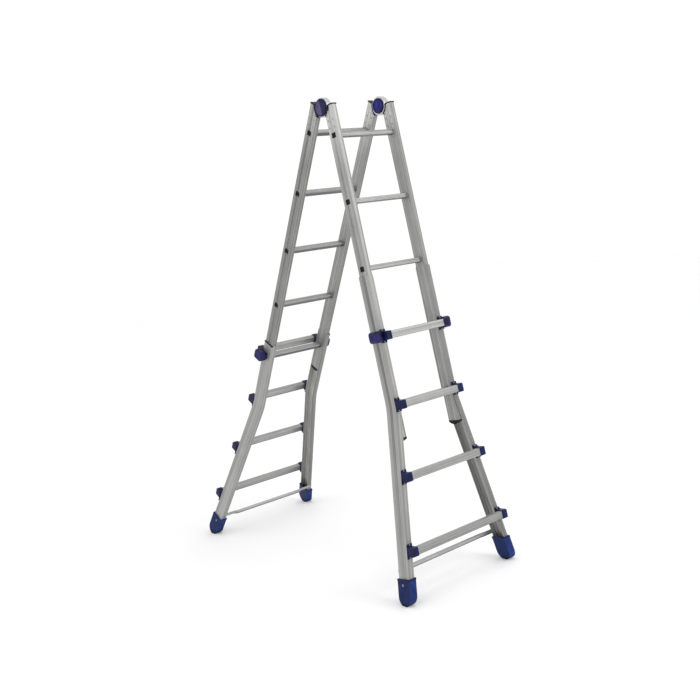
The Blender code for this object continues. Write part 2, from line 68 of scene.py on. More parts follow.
# Extruded sections
ARC_STEPS = 5
STILE_RADIUS = 0.0030
STILE_WALL = 0.002
STILE_MIDDLE = -0.045
STILE_HALF = 0.0285
PIN_GROOVE = (0.014, 0.003)
FACE_GROOVE = (0.003, 0.001)
FACE_GROOVE_OFF = 0.0095
FLANGE_LINE = (0.003, 0.0006)
FLANGE_LINE_IN = 0.006
MIDDLE_LINE = (0.0014, 0.0005)
TUBE_RADIUS = 0.0028
TUBE_WALL = 0.0016
TREAD_RIB = (0.0016, 0.0006)
TREAD_PITCH = 0.0042
SLEEVE_OVER = 0.003
SLEEVE_WALL = 0.0025
SLEEVE_RADIUS = 0.0034
SLEEVE_GROOVE = ((0.018, 0.010), 0.0022)
SLEEVE_RIB = ((0.0134, 0.0110), 0.0020)

# Plastic pieces
SOFT_EDGE = 0.0016
SMALL_EDGE = 0.0006
PLAY = 0.0003
STEP_PLAY = 0.0004
PLUG_FLANGE = 0.008
PLUG_DOME = 0.011
RUNG_PLUG = (0.003, 0.0014, 0.005)
TRIM_PROUD = 0.0012
TRIM_IN = 0.0020
TRIM_OUT = 0.0033
LUG = (0.0105, 0.0065)
GUIDE_HEIGHT = 0.005
GUIDE_RETURN = 0.004
EAR_THICK = 0.0042
EAR_BEND = 0.0095
EAR_HALF = 0.028
SOCKET_HALF = 0.019
SOCKET_OUT = 0.041
SOCKET_TAPER = 0.0012
SOCKET_CORNER = 0.004
BRACKET_X = (0.1465, 0.1735)
SCREW_X = 0.1600
SCREW_OFF = 0.0235
SCREW_HEAD = (0.0032, 0.0017)
SCREW_SLOT = ((0.0009, -0.0004, -0.0020), (0.003, 0.0004, 0.0020))
LOCK_PLATE_BACK = 0.037
LOCK_PLATE_HALF = 0.018
LOCK_GAP = 0.0004
GRIP_CORNER = 0.012
GRIP_EDGE = 0.009
GRIP_RIB = (0.0024, 0.0010)
GRIP_RIB_PLACES = (0.30, 0.42, 0.58, 0.70)
LOCK_PIN_RADIUS = 0.005
LOCK_PIN_ROOT = 0.008
SHOE_HALF = 0.019
SHOE_BAND = 0.0008
SHOE_BAND_HEIGHT = 0.007
SHOE_GROOVE = (0.0022, 0.0016)
SHOE_GROOVES = 7
SHOE_RIVET = (0.0052, 0.0022)
SHOE_RIVET_BELOW = 0.022
SHOE_RIVET_OFF = 0.004

# Tie bars
BAR_FLAT = (0.009, 0.0015)
BAR_ROUND = (0.0095, 0.007)
BAR_FLAT_LENGTH = 0.064
BAR_PRESSED_LENGTH = 0.024
BAR_CHAMFER = (0.003, 0.0015)
BAR_RIVET = (0.004, 0.0017)
BAR_RIVET_IN = 0.013

# Hinges
DRUM_CLEAR = 0.0445
DRUM_RADIUS = 0.0409
DRUM_X = (0.1435, 0.1680)
DRUM_RIM = 0.0018
DRUM_SIDES = 96
TONGUE_SLOT = (0.0423, 0.1523, 0.1589)
TONGUE = (0.0409, 0.1526, 0.1586)
CHEEK_RADIUS = 0.043
CHEEKS = (0.13, 0.18)
BORE_RADIUS = 0.0083
PIN_RADIUS = 0.008
PIN_CHAMFER = 0.0008
POCKET = (0.0335, 0.1505)
TANG_X = (0.1480, 0.1632)
TANG_TOP = -0.004
CAP_START = 0.1683
CAP_DISH = 0.0012
CAP_RIM = ((0.0022, 0.0), (0.0010, 0.0006), (0.0002, 0.0018), (0.0, 0.0032), (0.0, 0.0048),
           (CAP_DISH, 0.0060))
PAD_RADIUS = 0.0305
PAD_HALF_TURN = 96
PAD_TILT = math.radians(-3)
RELEASE_BORE_END = 0.1402
KNOB_FACE = ((0.0006, 0.0), (0.0012, 0.010), (0.0020, 0.0135))
KNOB_RIM = ((0.0020, 0.009), (0.0008, 0.0072), (0.0, 0.0055), (0.0, 0.0028), (0.0004, 0.0012),
            (0.0014, 0.0002), (0.0024, 0.0))
STOP_PIN = (-0.0275, -0.0445)
STOP_PIN_HEAD = (0.0040, 0.0022)
TANG_RIVET = (0.0036, 0.0014)
TANG_RIVETS = ((-0.066, -0.016), (-0.066, 0.016), (-0.098, -0.016), (-0.098, 0.016))

# Painted light and shade: how bright a stile's web, its side towards the rungs and its left and right flanges
# are painted on each leg
INNER_PAINTED_LIGHT = {"front": (0.96, 1.00, (0.88, 0.70)), "rear": (0.72, 1.00, (0.80, 0.78))}
OUTER_PAINTED_LIGHT = {"front": (0.94, 1.08, (0.87, 0.54)), "rear": (1.00, 1.45, (0.90, 0.66))}
# Painted shade in the groove down an outer stile's web, and the heights between which it fades out
GROOVE_PAINTED_SHADE = {"front": 0.66, "rear": 0.97}
GROOVE_SHADE_FADES = (-1.78, -1.30)
# Across the ladder, where the painted shade on the flanges goes from the left flange's level to the right
# one's
FLANGE_SHADE_FADES = (-0.05, 0.05)
# The painted highlight at the top of the inner stiles, and the heights over which it fades in
TOP_HIGHLIGHT = 1.55
TOP_HIGHLIGHT_FADES = (-0.26, -0.05)

# Where a stile's section gets its painted shade lines, its painted highlight lines and its regions of painted
# light, across the ladder or off the stile's middle, with half widths
FLANGE_SHADE_LINE = 0.1515
FLANGE_STARTS = (STILE_HALF - 0.0012, STILE_HALF - 0.0006)
INSIDE_ENDS = (0.1468, 0.1472)
FACE_SHADE_LINES = ((FACE_GROOVE_OFF, 0.0022), (0.022, 0.0016))
WEB_STARTS = (0.1640, 0.1645)
WEB_GROOVE_SHADE = (0.0, 0.0068)
WEB_HIGHLIGHT_LINES = (0.0210, 0.0030, 0.003)
OUTER_INSIDE_ENDS = (0.16955, 0.16965)
OUTER_FLANGE_INSIDE = (0.0297, 0.0303)
OUTER_FLANGE_STARTS = (0.0303, 0.0308)
OUTER_GROOVE_SHADE = (0.0, 0.0080, 0.003)

# A mesh's own z turned to run along X, for outlines drawn as (y, z)
ALONG_X = Matrix(((0, 0, 1, 0), (1, 0, 0, 0), (0, 1, 0, 0), (0, 0, 0, 1)))


def joint(name):
    return next(found for found in frame["joints"] if found["name"] == name)


HINGE = Vector(joint("hinge_fold")["pos_m"])


class Leg:
    """One leg's frame, and which way its two sides lie in it."""

    def __init__(self, name, across):
        self.name = name
        self.inner = f"{name}_ladder"
        self.outer = f"{name}_outer"
        up = -Vector(joint(f"{name}_telescope")["axis"]).normalized()
        self.place = Matrix((across, up.cross(across), up)).transposed().to_4x4()
        self.place.translation = HINGE
        self.sides = {"left": -across.x, "right": across.x}
        self.hang = -self.span(f"{name}_step_1", 1).middle.z
        self.flange = self.at("sleeve", "left").low.y
        # Painted light and shade for this leg's inner and outer stiles
        shades = inner_stile_shades(across.x, *INNER_PAINTED_LIGHT[name])
        self.inner_metal = metal(f"{name}_inner_stile_aluminium", 0.44, 0.27, 0.46, "z", 0.7, 0.07,
                                 self.place, shades=shades)
        shades = outer_stile_shades(across.x, *OUTER_PAINTED_LIGHT[name], GROOVE_PAINTED_SHADE[name])
        self.outer_metal = metal(f"{name}_outer_stile_aluminium", 0.45, 0.28, 0.46, "z", 0.7, 0.07,
                                 self.place, self.hang, shades)

    def span(self, node, side=1):
        """The node's lowest and highest corner in this leg's frame, with x counted towards side."""
        back = self.place.inverted()
        points = np.array([back @ vertex.co for vertex in frame["nodes"][node].data.vertices])
        points[:, 0] *= side
        return Span(Vector(points.min(0)), Vector(points.max(0)))

    def at(self, kind, side_name):
        """The span of one side's node of this kind, such as a stile."""
        return self.span(f"{self.name}_{kind}_{side_name}", self.sides[side_name])


class Span:
    """A box between its lowest and its highest corner."""

    def __init__(self, low, high):
        self.low = low
        self.high = high
        self.middle = (low + high) / 2
        self.size = high - low


# ---------------------------------------------------------------- materials

def add_node(tree, kind, inputs=None, **settings):
    """A shader node. An input is a number or colour, or an output of another node to link."""
    made = tree.nodes.new(kind)
    for key, value in settings.items():
        setattr(made, key, value)
    for key, value in (inputs or {}).items():
        if isinstance(value, bpy.types.NodeSocket):
            tree.links.new(value, made.inputs[key])
        else:
            made.inputs[key].default_value = value
    return made


def new_tree(name):
    material = bpy.data.materials.new(name)
    material.use_nodes = True
    tree = material.node_tree
    tree.nodes.clear()
    return material, tree


def maths(tree, operation, first, second=0.0):
    return add_node(tree, "ShaderNodeMath", {0: first, 1: second}, operation=operation).outputs["Value"]


def product(tree, first, second):
    return maths(tree, "MULTIPLY", first, second)


def axis(tree, vector, name):
    """One coordinate of a vector."""
    return add_node(tree, "ShaderNodeSeparateXYZ", {"Vector": vector}).outputs[name]


def stretched_noise(tree, coords, scale, detail=3.0, roughness=0.55):
    moved = add_node(tree, "ShaderNodeMapping", {"Vector": coords, "Scale": scale})
    return add_node(tree, "ShaderNodeTexNoise", {
        "Vector": moved.outputs["Vector"], "Scale": 1.0, "Detail": detail, "Roughness": roughness,
    }).outputs["Fac"]


def map_range(tree, value, start, end, low=0.0, high=1.0):
    return add_node(tree, "ShaderNodeMapRange", {
        "Value": value, "From Min": start, "From Max": end, "To Min": low, "To Max": high,
    }).outputs["Result"]


def band(tree, value, middle, half, soft=0.0012):
    """1 where the value lies within half of the middle, falling to 0 further off."""
    off = maths(tree, "ABSOLUTE", maths(tree, "SUBTRACT", value, middle))
    return map_range(tree, off, half - soft / 2, half + soft / 2, 1.0, 0.0)


def mix_colour(tree, factor, first, second, blend="MIX"):
    made = add_node(tree, "ShaderNodeMix", data_type="RGBA", blend_type=blend)
    for socket, value in ((made.inputs[0], factor), (made.inputs[6], first), (made.inputs[7], second)):
        if isinstance(value, bpy.types.NodeSocket):
            tree.links.new(value, socket)
        elif isinstance(value, tuple):
            socket.default_value = (*value, 1)
        else:
            socket.default_value = value
    return made.outputs[2]


def tinted(tree, tint, mask, level):
    """The colour multiplied by a level where the mask is 1."""
    return mix_colour(tree, mask, tint, mix_colour(tree, 1.0, tint, (level, level, level), "MULTIPLY"))


def close_shader(tree, colour, roughness, normal, **fixed):
    shader = add_node(tree, "ShaderNodeBsdfPrincipled", {
        "Base Color": colour, "Roughness": roughness, "Normal": normal,
    })
    for key, value in fixed.items():
        shader.inputs[key.replace("_", " ")].default_value = value
    add_node(tree, "ShaderNodeOutputMaterial", {"Surface": shader.outputs["BSDF"]})


def unspread(tree, coords, hang):
    """The places on an outer stile as they were before it was bent outward."""
    axes = add_node(tree, "ShaderNodeSeparateXYZ", {"Vector": coords}).outputs
    past = maths(tree, "SUBTRACT", -hang - BEND_BELOW + BEND_HALF, axes["Z"])
    in_bend = maths(tree, "MINIMUM", maths(tree, "MAXIMUM", past, 0.0), 2 * BEND_HALF)
    curved = product(tree, product(tree, in_bend, in_bend), FLARE / (4 * BEND_HALF))
    straight = maths(tree, "MAXIMUM", maths(tree, "SUBTRACT", past, 2 * BEND_HALF), 0.0)
    out = maths(tree, "ADD", curved, product(tree, straight, FLARE))
    x = maths(tree, "SUBTRACT", axes["X"], product(tree, maths(tree, "SIGN", axes["X"]), out))
    return add_node(tree, "ShaderNodeCombineXYZ", {"X": x, "Y": axes["Y"], "Z": axes["Z"]}).outputs["Vector"]


def section_place(tree, coords):
    """The x of a point, how far across the ladder it lies and how far off the middle of its stile."""
    axes = add_node(tree, "ShaderNodeSeparateXYZ", {"Vector": coords}).outputs
    off_middle = maths(tree, "ABSOLUTE", maths(tree, "SUBTRACT", axes["Y"], STILE_MIDDLE))
    return axes["X"], maths(tree, "ABSOLUTE", axes["X"]), off_middle


def flange_shade(tree, tint, x, on_flange, levels):
    """The colour with painted shade on the flanges of the stile at negative x and at positive x, at their
    levels.
    """
    low, high = (1.0 - level for level in levels)
    return tinted(tree, tint, product(tree, map_range(tree, x, *FLANGE_SHADE_FADES, low, high), on_flange), 0.0)


def inner_stile_shades(right, web, facing, flanges):
    """A painted shade line on each flange and four on the face towards the rungs, painted shade in the pin
    groove, painted highlight lines beside it, painted light and shade on each side, and a painted highlight
    at the top.
    """
    def shades(tree, coords, tint):
        x, across, off_middle = section_place(tree, coords)
        on_flange = map_range(tree, off_middle, *FLANGE_STARTS)
        # Painted shade lines in the flanges' grooves, and painted light and shade on each flange
        line = product(tree, band(tree, across, FLANGE_SHADE_LINE, 0.0020), on_flange)
        tint = tinted(tree, tint, line, 0.80)
        tint = flange_shade(tree, tint, x, on_flange, flanges[::round(right)])
        # Painted light on the side towards the rungs, with painted shade lines in its grooves
        inside = map_range(tree, across, *INSIDE_ENDS, 1.0, 0.0)
        tint = tinted(tree, tint, inside, facing)
        lines = maths(tree, "ADD", *(band(tree, off_middle, *mark) for mark in FACE_SHADE_LINES))
        tint = tinted(tree, tint, product(tree, lines, inside), 0.74)
        # Painted shade in the pin groove, painted highlight lines beside it, and painted light on the web
        outside = map_range(tree, across, *WEB_STARTS)
        tint = tinted(tree, tint, product(tree, band(tree, off_middle, *WEB_GROOVE_SHADE), outside), 0.94)
        tint = tinted(tree, tint, product(tree, band(tree, off_middle, *WEB_HIGHLIGHT_LINES), outside), 1.10)
        tint = tinted(tree, tint, outside, web)
        # Painted highlight at the top of the stile, weaker on the flanges
        top = map_range(tree, axis(tree, coords, "Z"), *TOP_HIGHLIGHT_FADES)
        plain = map_range(tree, on_flange, 0.0, 1.0, 1.0, 0.4)
        return tinted(tree, tint, product(tree, top, plain), TOP_HIGHLIGHT)
    return shades


def outer_stile_shades(right, web, facing, flanges, groove):
    """Painted shade in the groove down the web and a painted shade line on each flange, painted light and
    shade on the web and flanges, and painted light inside the channel.
    """
    def shades(tree, coords, tint):
        x, across, off_middle = section_place(tree, coords)
        between = map_range(tree, off_middle, *OUTER_FLANGE_INSIDE, 1.0, 0.0)
        inside = product(tree, map_range(tree, across, *OUTER_INSIDE_ENDS, 1.0, 0.0), between)
        on_flange = map_range(tree, off_middle, *OUTER_FLANGE_STARTS)
        outside = maths(tree, "SUBTRACT", maths(tree, "SUBTRACT", 1.0, inside), on_flange)
        # Painted shade in the groove down the web, fading out towards the foot
        hollow = product(tree, band(tree, off_middle, *OUTER_GROOVE_SHADE), outside)
        hollow = product(tree, hollow, map_range(tree, axis(tree, coords, "Z"), *GROOVE_SHADE_FADES))
        tint = tinted(tree, tint, hollow, groove)
        # A painted shade line on each flange, painted light and shade on the flanges and the web, and painted
        # light inside the channel
        line = product(tree, band(tree, across, FLANGE_SHADE_LINE, 0.0022), on_flange)
        tint = tinted(tree, tint, line, 0.82)
        tint = flange_shade(tree, tint, x, on_flange, flanges[::round(right)])
        tint = tinted(tree, tint, outside, web)
        return tinted(tree, tint, inside, facing)
    return shades


def step_shades(tree, coords, tint):
    """Two lines of painted shade along the face, and painted shade growing towards the floor."""
    height = axis(tree, add_node(tree, "ShaderNodeTexCoord").outputs["Generated"], "Z")
    # Painted shade in the face's grooves
    for line in (0.38, 0.66):
        tint = tinted(tree, tint, band(tree, height, line, 0.03, 0.05), 0.86)
    # Painted shade on the lower steps, growing towards the floor
    level = axis(tree, coords, "Z")
    return tinted(tree, tint, map_range(tree, level, 0.05, 0.70, 1.0, 0.0), 0.74)


def metal(name, light, dark, roughness, along=None, metallic=0.75, warmth=0.02, place=None, hang=None,
          shades=None, under=None):
    """Extruded or machined metal: drawn lines along one axis, cloudy patches and rare scratches.

    place is the leg's frame that the lines follow, hang says where the stile's bend is, shades adds the
    painted light and shade of its section, and under is how much of the piece's height gets painted shade at
    its bottom and how bright that is.
    """
    material, tree = new_tree(name)
    places = add_node(tree, "ShaderNodeTexCoord").outputs
    coords = places["Object"]
    if place:
        back = place.inverted()
        coords = add_node(tree, "ShaderNodeMapping", {
            "Vector": coords, "Location": back.translation, "Rotation": back.to_euler(),
        }).outputs["Vector"]
    if hang:
        coords = unspread(tree, coords, hang)

    def stretched(across, lengthwise, detail, rough=0.55):
        scales = {"x": (lengthwise, across, across), "z": (across, across, lengthwise)}
        return stretched_noise(tree, coords, scales.get(along, (across,) * 3), detail, rough)

    streaks = stretched(135.0, 0.7, 2.0)
    lines = stretched(420.0, 1.6, 3.0)
    fine = stretched(1500.0, 5.0, 3.0, 0.6)
    marks = stretched(420.0, 60.0, 5.0, 0.7)
    clouds = stretched_noise(tree, coords, (13.0, 13.0, 9.0), 4.0, 0.6)
    mixed = maths(tree, "ADD", product(tree, streaks, 0.55), product(tree, lines, 0.30))
    mixed = maths(tree, "ADD", mixed, product(tree, fine, 0.15))
    shadow = (dark, dark * (1 - warmth / 6), dark * (1 - warmth))
    bright = (light, light, light * (1 - warmth / 4))
    tint = mix_colour(tree, map_range(tree, mixed, 0.42, 0.58), shadow, bright)
    if shades:
        tint = shades(tree, coords, tint)
    # Painted shade along the bottom of the piece
    if under:
        share, level = under
        height = axis(tree, places["Generated"], "Z")
        tint = tinted(tree, tint, map_range(tree, height, 0.7 * share, share, 1.0, 0.0), level)
    shade = mix_colour(tree, map_range(tree, clouds, 0.3, 0.72), (0.90, 0.90, 0.905), (1.06, 1.06, 1.055))
    tint = mix_colour(tree, 1.0, tint, shade, "MULTIPLY")
    tint = mix_colour(tree, map_range(tree, marks, 0.70, 0.76, 0.0, 0.45), tint, (0.62 * dark,) * 3)
    rough = map_range(tree, mixed, 0.35, 0.65, roughness - 0.07, roughness + 0.09)
    bump = add_node(tree, "ShaderNodeBump", {"Strength": 0.22, "Distance": 0.0004, "Height": mixed})
    close_shader(tree, tint, rough, bump.outputs["Normal"], Metallic=metallic)
    return material


def plastic(name, light, dark, roughness, grain_size=0.0006, rims=None, flanks=1.0, dish=1.0):
    """Moulded plastic: fine moulded grain, faint flow patches and pale scuffs.

    rims is how much of the piece's height gets painted shade at its bottom and at its top, flanks how bright
    the painted shade on its sides across the ladder is, and dish how bright the painted shade on the rim of a
    round piece is.
    """
    material, tree = new_tree(name)
    places = add_node(tree, "ShaderNodeTexCoord").outputs
    coords = places["Object"]
    fine = 1.0 / grain_size
    grain = stretched_noise(tree, coords, (fine, fine, fine), 2.0, 0.5)
    flow = stretched_noise(tree, coords, (45.0, 45.0, 30.0), 3.0, 0.55)
    scuffs = stretched_noise(tree, coords, (150.0, 190.0, 90.0), 6.0, 0.72)
    tint = mix_colour(tree, map_range(tree, flow, 0.36, 0.64), dark, light)
    tint = mix_colour(tree, map_range(tree, grain, 0.3, 0.7, 0.0, 0.25), tint, dark)
    pale = tuple(0.7 * value + 0.06 for value in light)
    tint = mix_colour(tree, map_range(tree, scuffs, 0.67, 0.80, 0.0, 0.4), tint, pale)
    # Painted shade along the bottom and the top of the piece
    if rims:
        height = axis(tree, places["Generated"], "Z")
        bottom = map_range(tree, height, 0.3 * rims[0], rims[0], 1.0, 0.0)
        top = map_range(tree, height, 1.0 - rims[1], 1.0 - 0.7 * rims[1])
        tint = tinted(tree, tint, maths(tree, "ADD", bottom, top), 0.28)
    # Painted shade on the sides that face across the ladder
    if flanks < 1:
        facing = axis(tree, places["Normal"], "X")
        tint = tinted(tree, tint, map_range(tree, maths(tree, "ABSOLUTE", facing), 0.3, 0.9), flanks)
    # Painted shade on the rim of a round piece
    if dish < 1:
        across = add_node(tree, "ShaderNodeSeparateXYZ", {"Vector": places["Generated"]}).outputs
        squares = [maths(tree, "POWER", maths(tree, "SUBTRACT", across[axis], 0.5), 2.0) for axis in "YZ"]
        radius = maths(tree, "SQRT", maths(tree, "ADD", *squares))
        tint = tinted(tree, tint, map_range(tree, radius, 0.28, 0.5), dish)
    rough = map_range(tree, flow, 0.25, 0.75, roughness - 0.06, roughness + 0.10)
    bump = add_node(tree, "ShaderNodeBump", {"Strength": 0.30, "Distance": 0.0003, "Height": grain})
    close_shader(tree, tint, rough, bump.outputs["Normal"], Specular_IOR_Level=0.14)
    return material


# Rungs and steps get painted shade along their bottoms; the front steps also get painted shade lines and
# painted shade towards the floor
RUNGS_METAL = {
    "front": metal("front_rung_aluminium", 0.38, 0.27, 0.42, "x", under=(0.30, 0.56)),
    "rear": metal("rear_rung_aluminium", 0.41, 0.29, 0.42, "x", under=(0.46, 0.46)),
}
STEPS_METAL = {
    "front": metal("front_step_aluminium", 0.44, 0.32, 0.42, "x", shades=step_shades, under=(0.16, 0.66)),
    "rear": metal("rear_step_aluminium", 0.44, 0.32, 0.42, "x", under=(0.16, 0.66)),
}
HINGE_METAL = metal("hinge_metal", 0.66, 0.52, 0.30, None, 0.9)
STEEL = metal("zinc_plated_steel", 0.36, 0.25, 0.38, "x", 0.85)
# The tie bars get painted shade along their undersides
TIE_STEEL = metal("tie_bar_steel", 0.46, 0.33, 0.38, "x", 0.85, under=(0.42, 0.60))
# The shoes get painted shade at their bottoms and tops and on their sides
FOOT_BLUE = plastic("foot_rubber", (0.009, 0.034, 0.185), (0.004, 0.014, 0.080), 0.42, 0.0008,
                    (0.16, 0.06), flanks=0.66)
BRACKET_BLUE = plastic("bracket_plastic", (0.008, 0.013, 0.082), (0.003, 0.004, 0.028), 0.36)
# The grips get painted shade at their bottoms and tops
GRIP_VIOLET = plastic("grip_plastic", (0.030, 0.029, 0.140), (0.010, 0.009, 0.046), 0.34, rims=(0.12, 0.12))
CAP_NAVY = plastic("cap_plastic", (0.014, 0.014, 0.085), (0.006, 0.005, 0.034), 0.30)
PAD_VIOLET = plastic("pad_plastic", (0.110, 0.090, 0.190), (0.065, 0.050, 0.130), 0.40)
# The release knobs get painted shade on their rims
KNOB_BLUE = plastic("knob_plastic", (0.030, 0.028, 0.260), (0.012, 0.010, 0.120), 0.30, dish=0.32)
BLACK = plastic("black_plastic", (0.012, 0.010, 0.015), (0.005, 0.004, 0.006), 0.45)


# ---------------------------------------------------------------- mesh tools

def in_scene(name, data):
    made = bpy.data.objects.new(name, data)
    bpy.context.scene.collection.objects.link(made)
    return made


def finished(shape, name):
    """The shape as a mesh, with its faces pointing out."""
    bmesh.ops.recalc_face_normals(shape, faces=shape.faces)
    mesh = bpy.data.meshes.new(name)
    shape.to_mesh(mesh)
    shape.free()
    return mesh


def arc(centre, radius, start, end, steps=ARC_STEPS):
    """Points along a circular arc between two angles in degrees."""
    angles = [math.radians(start + (end - start) * step / steps) for step in range(steps + 1)]
    return [(centre[0] + radius * math.cos(angle), centre[1] + radius * math.sin(angle)) for angle in angles]


def profile(low, high, radius, cuts=None, arc_steps=ARC_STEPS):
    """A rectangle with rounded corners, and grooves cut into its sides.

    cuts maps "+x", "+y", "-x" or "-y" to (place, width, depth) grooves on that side.
    """
    corners = [Vector((high[0], low[1])), Vector(high[:2]), Vector((low[0], high[1])), Vector(low[:2])]
    normals = {"+x": (1, 0), "+y": (0, 1), "-x": (-1, 0), "-y": (0, -1)}
    outline = []
    for index, (side, facing) in enumerate(normals.items()):
        normal = Vector(facing)
        along = Vector((-normal.y, normal.x))
        start, end = corners[index], corners[(index + 1) % 4]
        axis = 1 if normal.x else 0
        placed = [((place - start[axis]) * along[axis], width, depth)
                  for place, width, depth in (cuts or {}).get(side, ())]
        outline.append(start + along * radius)
        for distance, width, depth in sorted(placed):
            slope = min(0.5 * depth, 0.3 * width)
            outline.append(start + along * (distance - width / 2))
            outline.append(start + along * (distance - width / 2 + slope) - normal * depth)
            outline.append(start + along * (distance + width / 2 - slope) - normal * depth)
            outline.append(start + along * (distance + width / 2))
        outline.append(end - along * radius)
        centre = end - along * radius - normal * radius
        for step in range(1, arc_steps):
            angle = math.pi / 2 * step / arc_steps
            outline.append(centre + (normal * math.cos(angle) + along * math.sin(angle)) * radius)
    return [tuple(point) for point in outline]


def to_side(outline, side):
    """The outline mirrored in x for the side at negative x."""
    return [(side * x, y) for x, y in outline]


def extrude(outlines, start, end, turn=None):
    """A flat outline, less the holes inside it, made solid from start to end along its normal."""
    curve = bpy.data.curves.new("outline", "CURVE")
    curve.dimensions = "2D"
    curve.fill_mode = "BOTH"
    curve.extrude = abs(end - start) / 2
    for outline in outlines:
        spline = curve.splines.new("POLY")
        spline.points.add(len(outline) - 1)
        for point, (x, y) in zip(spline.points, outline):
            point.co = (x, y, 0, 1)
        spline.use_cyclic_u = True
    drawn = in_scene("outline", curve)
    graph = bpy.context.evaluated_depsgraph_get()
    filled = bpy.data.meshes.new_from_object(drawn.evaluated_get(graph))
    bpy.data.objects.remove(drawn)
    bpy.data.curves.remove(curve)
    shape = bmesh.new()
    shape.from_mesh(filled)
    bpy.data.meshes.remove(filled)
    bmesh.ops.remove_doubles(shape, verts=shape.verts, dist=1e-6)
    bmesh.ops.dissolve_limit(shape, angle_limit=math.radians(0.1), verts=shape.verts, edges=shape.edges)
    bmesh.ops.translate(shape, vec=(0, 0, (start + end) / 2), verts=shape.verts)
    bmesh.ops.transform(shape, matrix=turn or Matrix.Identity(4), verts=shape.verts)
    return finished(shape, "extruded")


def along_x(outlines, side, start, end):
    """An extrusion along X whose ends count away from the middle of the ladder on one side."""
    low, high = sorted((side * start, side * end))
    return extrude(outlines, low, high, ALONG_X)


def turned(points, sides=DRUM_SIDES, y=0.0, z=0.0):
    """A solid of revolution about an axis along X, from (x, radius) points that start and end on it."""
    shape = bmesh.new()
    line = [shape.verts.new((x, radius, 0)) for x, radius in points]
    edges = [shape.edges.new(pair) for pair in zip(line, line[1:])]
    bmesh.ops.spin(shape, geom=line + edges, cent=(0, 0, 0), axis=(1, 0, 0), dvec=(0, 0, 0),
                   angle=math.tau, steps=sides, use_duplicate=False)
    bmesh.ops.remove_doubles(shape, verts=shape.verts, dist=1e-6)
    bmesh.ops.translate(shape, vec=(0, y, z), verts=shape.verts)
    return finished(shape, "turned")


def drum(radius, start, end, sides=DRUM_SIDES, y=0.0, z=0.0):
    """A plain round cutter along X."""
    return turned([(start, 0), (start, radius), (end, radius), (end, 0)], sides, y, z)


def loft(rings):
    """A closed solid through rings of points that all have the same count."""
    shape = bmesh.new()
    rows = [[shape.verts.new(point) for point in ring] for ring in rings]
    for row, following in zip(rows, rows[1:]):
        for index in range(len(row)):
            after = (index + 1) % len(row)
            shape.faces.new((row[index], row[after], following[after], following[index]))
    shape.faces.new(rows[0])
    shape.faces.new(rows[-1])
    return finished(shape, "lofted")


def box(low, high):
    shape = bmesh.new()
    low, high = Vector(low), Vector(high)
    place = Matrix.Translation((low + high) / 2) @ Matrix.Diagonal((*(high - low), 1))
    bmesh.ops.create_cube(shape, size=1, matrix=place)
    return finished(shape, "box")


def joined(meshes):
    """Several meshes as one, without merging their shapes."""
    shape = bmesh.new()
    for mesh in meshes:
        shape.from_mesh(mesh)
    return finished(shape, "joined")


def boolean(mesh, steps):
    """The mesh after its Boolean steps, each an operation and another mesh."""
    made = in_scene("made", mesh)
    helpers = []
    for operation, other in steps:
        helper = in_scene("helper", other)
        helpers.append(helper)
        modifier = made.modifiers.new(operation, "BOOLEAN")
        modifier.operation = operation
        modifier.solver = "EXACT"
        modifier.object = helper
    graph = bpy.context.evaluated_depsgraph_get()
    result = bpy.data.meshes.new_from_object(made.evaluated_get(graph))
    for used in [made, *helpers]:
        bpy.data.objects.remove(used)
    return result


def cut_by(*meshes):
    """The Boolean steps that take these meshes away."""
    return [("DIFFERENCE", mesh) for mesh in meshes]


def moved(mesh, offset):
    mesh.transform(Matrix.Translation(offset))
    return mesh


def mirrored(mesh, side):
    """The mesh mirrored in x for the side at negative x."""
    if side < 0:
        mesh.transform(Matrix.Diagonal((-1, 1, 1, 1)))
        mesh.flip_normals()
    return mesh


def piece(name, mesh, material, place, body, replaced=(), edge=0.0, segments=3, smooth=30):
    """Puts a finished mesh into the ladder: its edges rounded, its material set, riding on its body."""
    mesh.name = name
    mesh.transform(place)
    mesh.materials.clear()
    mesh.materials.append(material)
    mesh.shade_smooth()
    made = in_scene(name, mesh)
    if edge:
        bevel = made.modifiers.new("rounded edges", "BEVEL")
        bevel.width = edge
        bevel.segments = segments
        bevel.limit_method = "ANGLE"
        bevel.angle_limit = math.radians(smooth)
    else:
        mesh.set_sharp_from_angle(angle=math.radians(smooth))
    weighted = made.modifiers.new("flat faces stay flat", "WEIGHTED_NORMAL")
    weighted.keep_sharp = True
    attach(made, body)
    if replaced:
        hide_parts(*replaced)


# ---------------------------------------------------------------- aluminium sections

def spread(below):
    """How far the outer stiles have moved outward at this distance below the first step."""
    past = below - BEND_BELOW + BEND_HALF
    in_bend = min(max(past, 0.0), 2 * BEND_HALF)
    return FLARE * (in_bend ** 2 / (4 * BEND_HALF) + max(past - 2 * BEND_HALF, 0.0))


def spread_mesh(leg, mesh, side):
    """Moves a mesh sideways with the outer stiles."""
    for vertex in mesh.vertices:
        vertex.co.x += side * spread(-vertex.co.z - leg.hang)
    return mesh


def sliced(mesh, levels):
    """The mesh with an extra ring of points at each of these z levels."""
    shape = bmesh.new()
    shape.from_mesh(mesh)
    for level in levels:
        parts = shape.verts[:] + shape.edges[:] + shape.faces[:]
        bmesh.ops.bisect_plane(shape, geom=parts, plane_co=(0, 0, level), plane_no=(0, 0, 1))
    shape.to_mesh(mesh)
    shape.free()
    return mesh


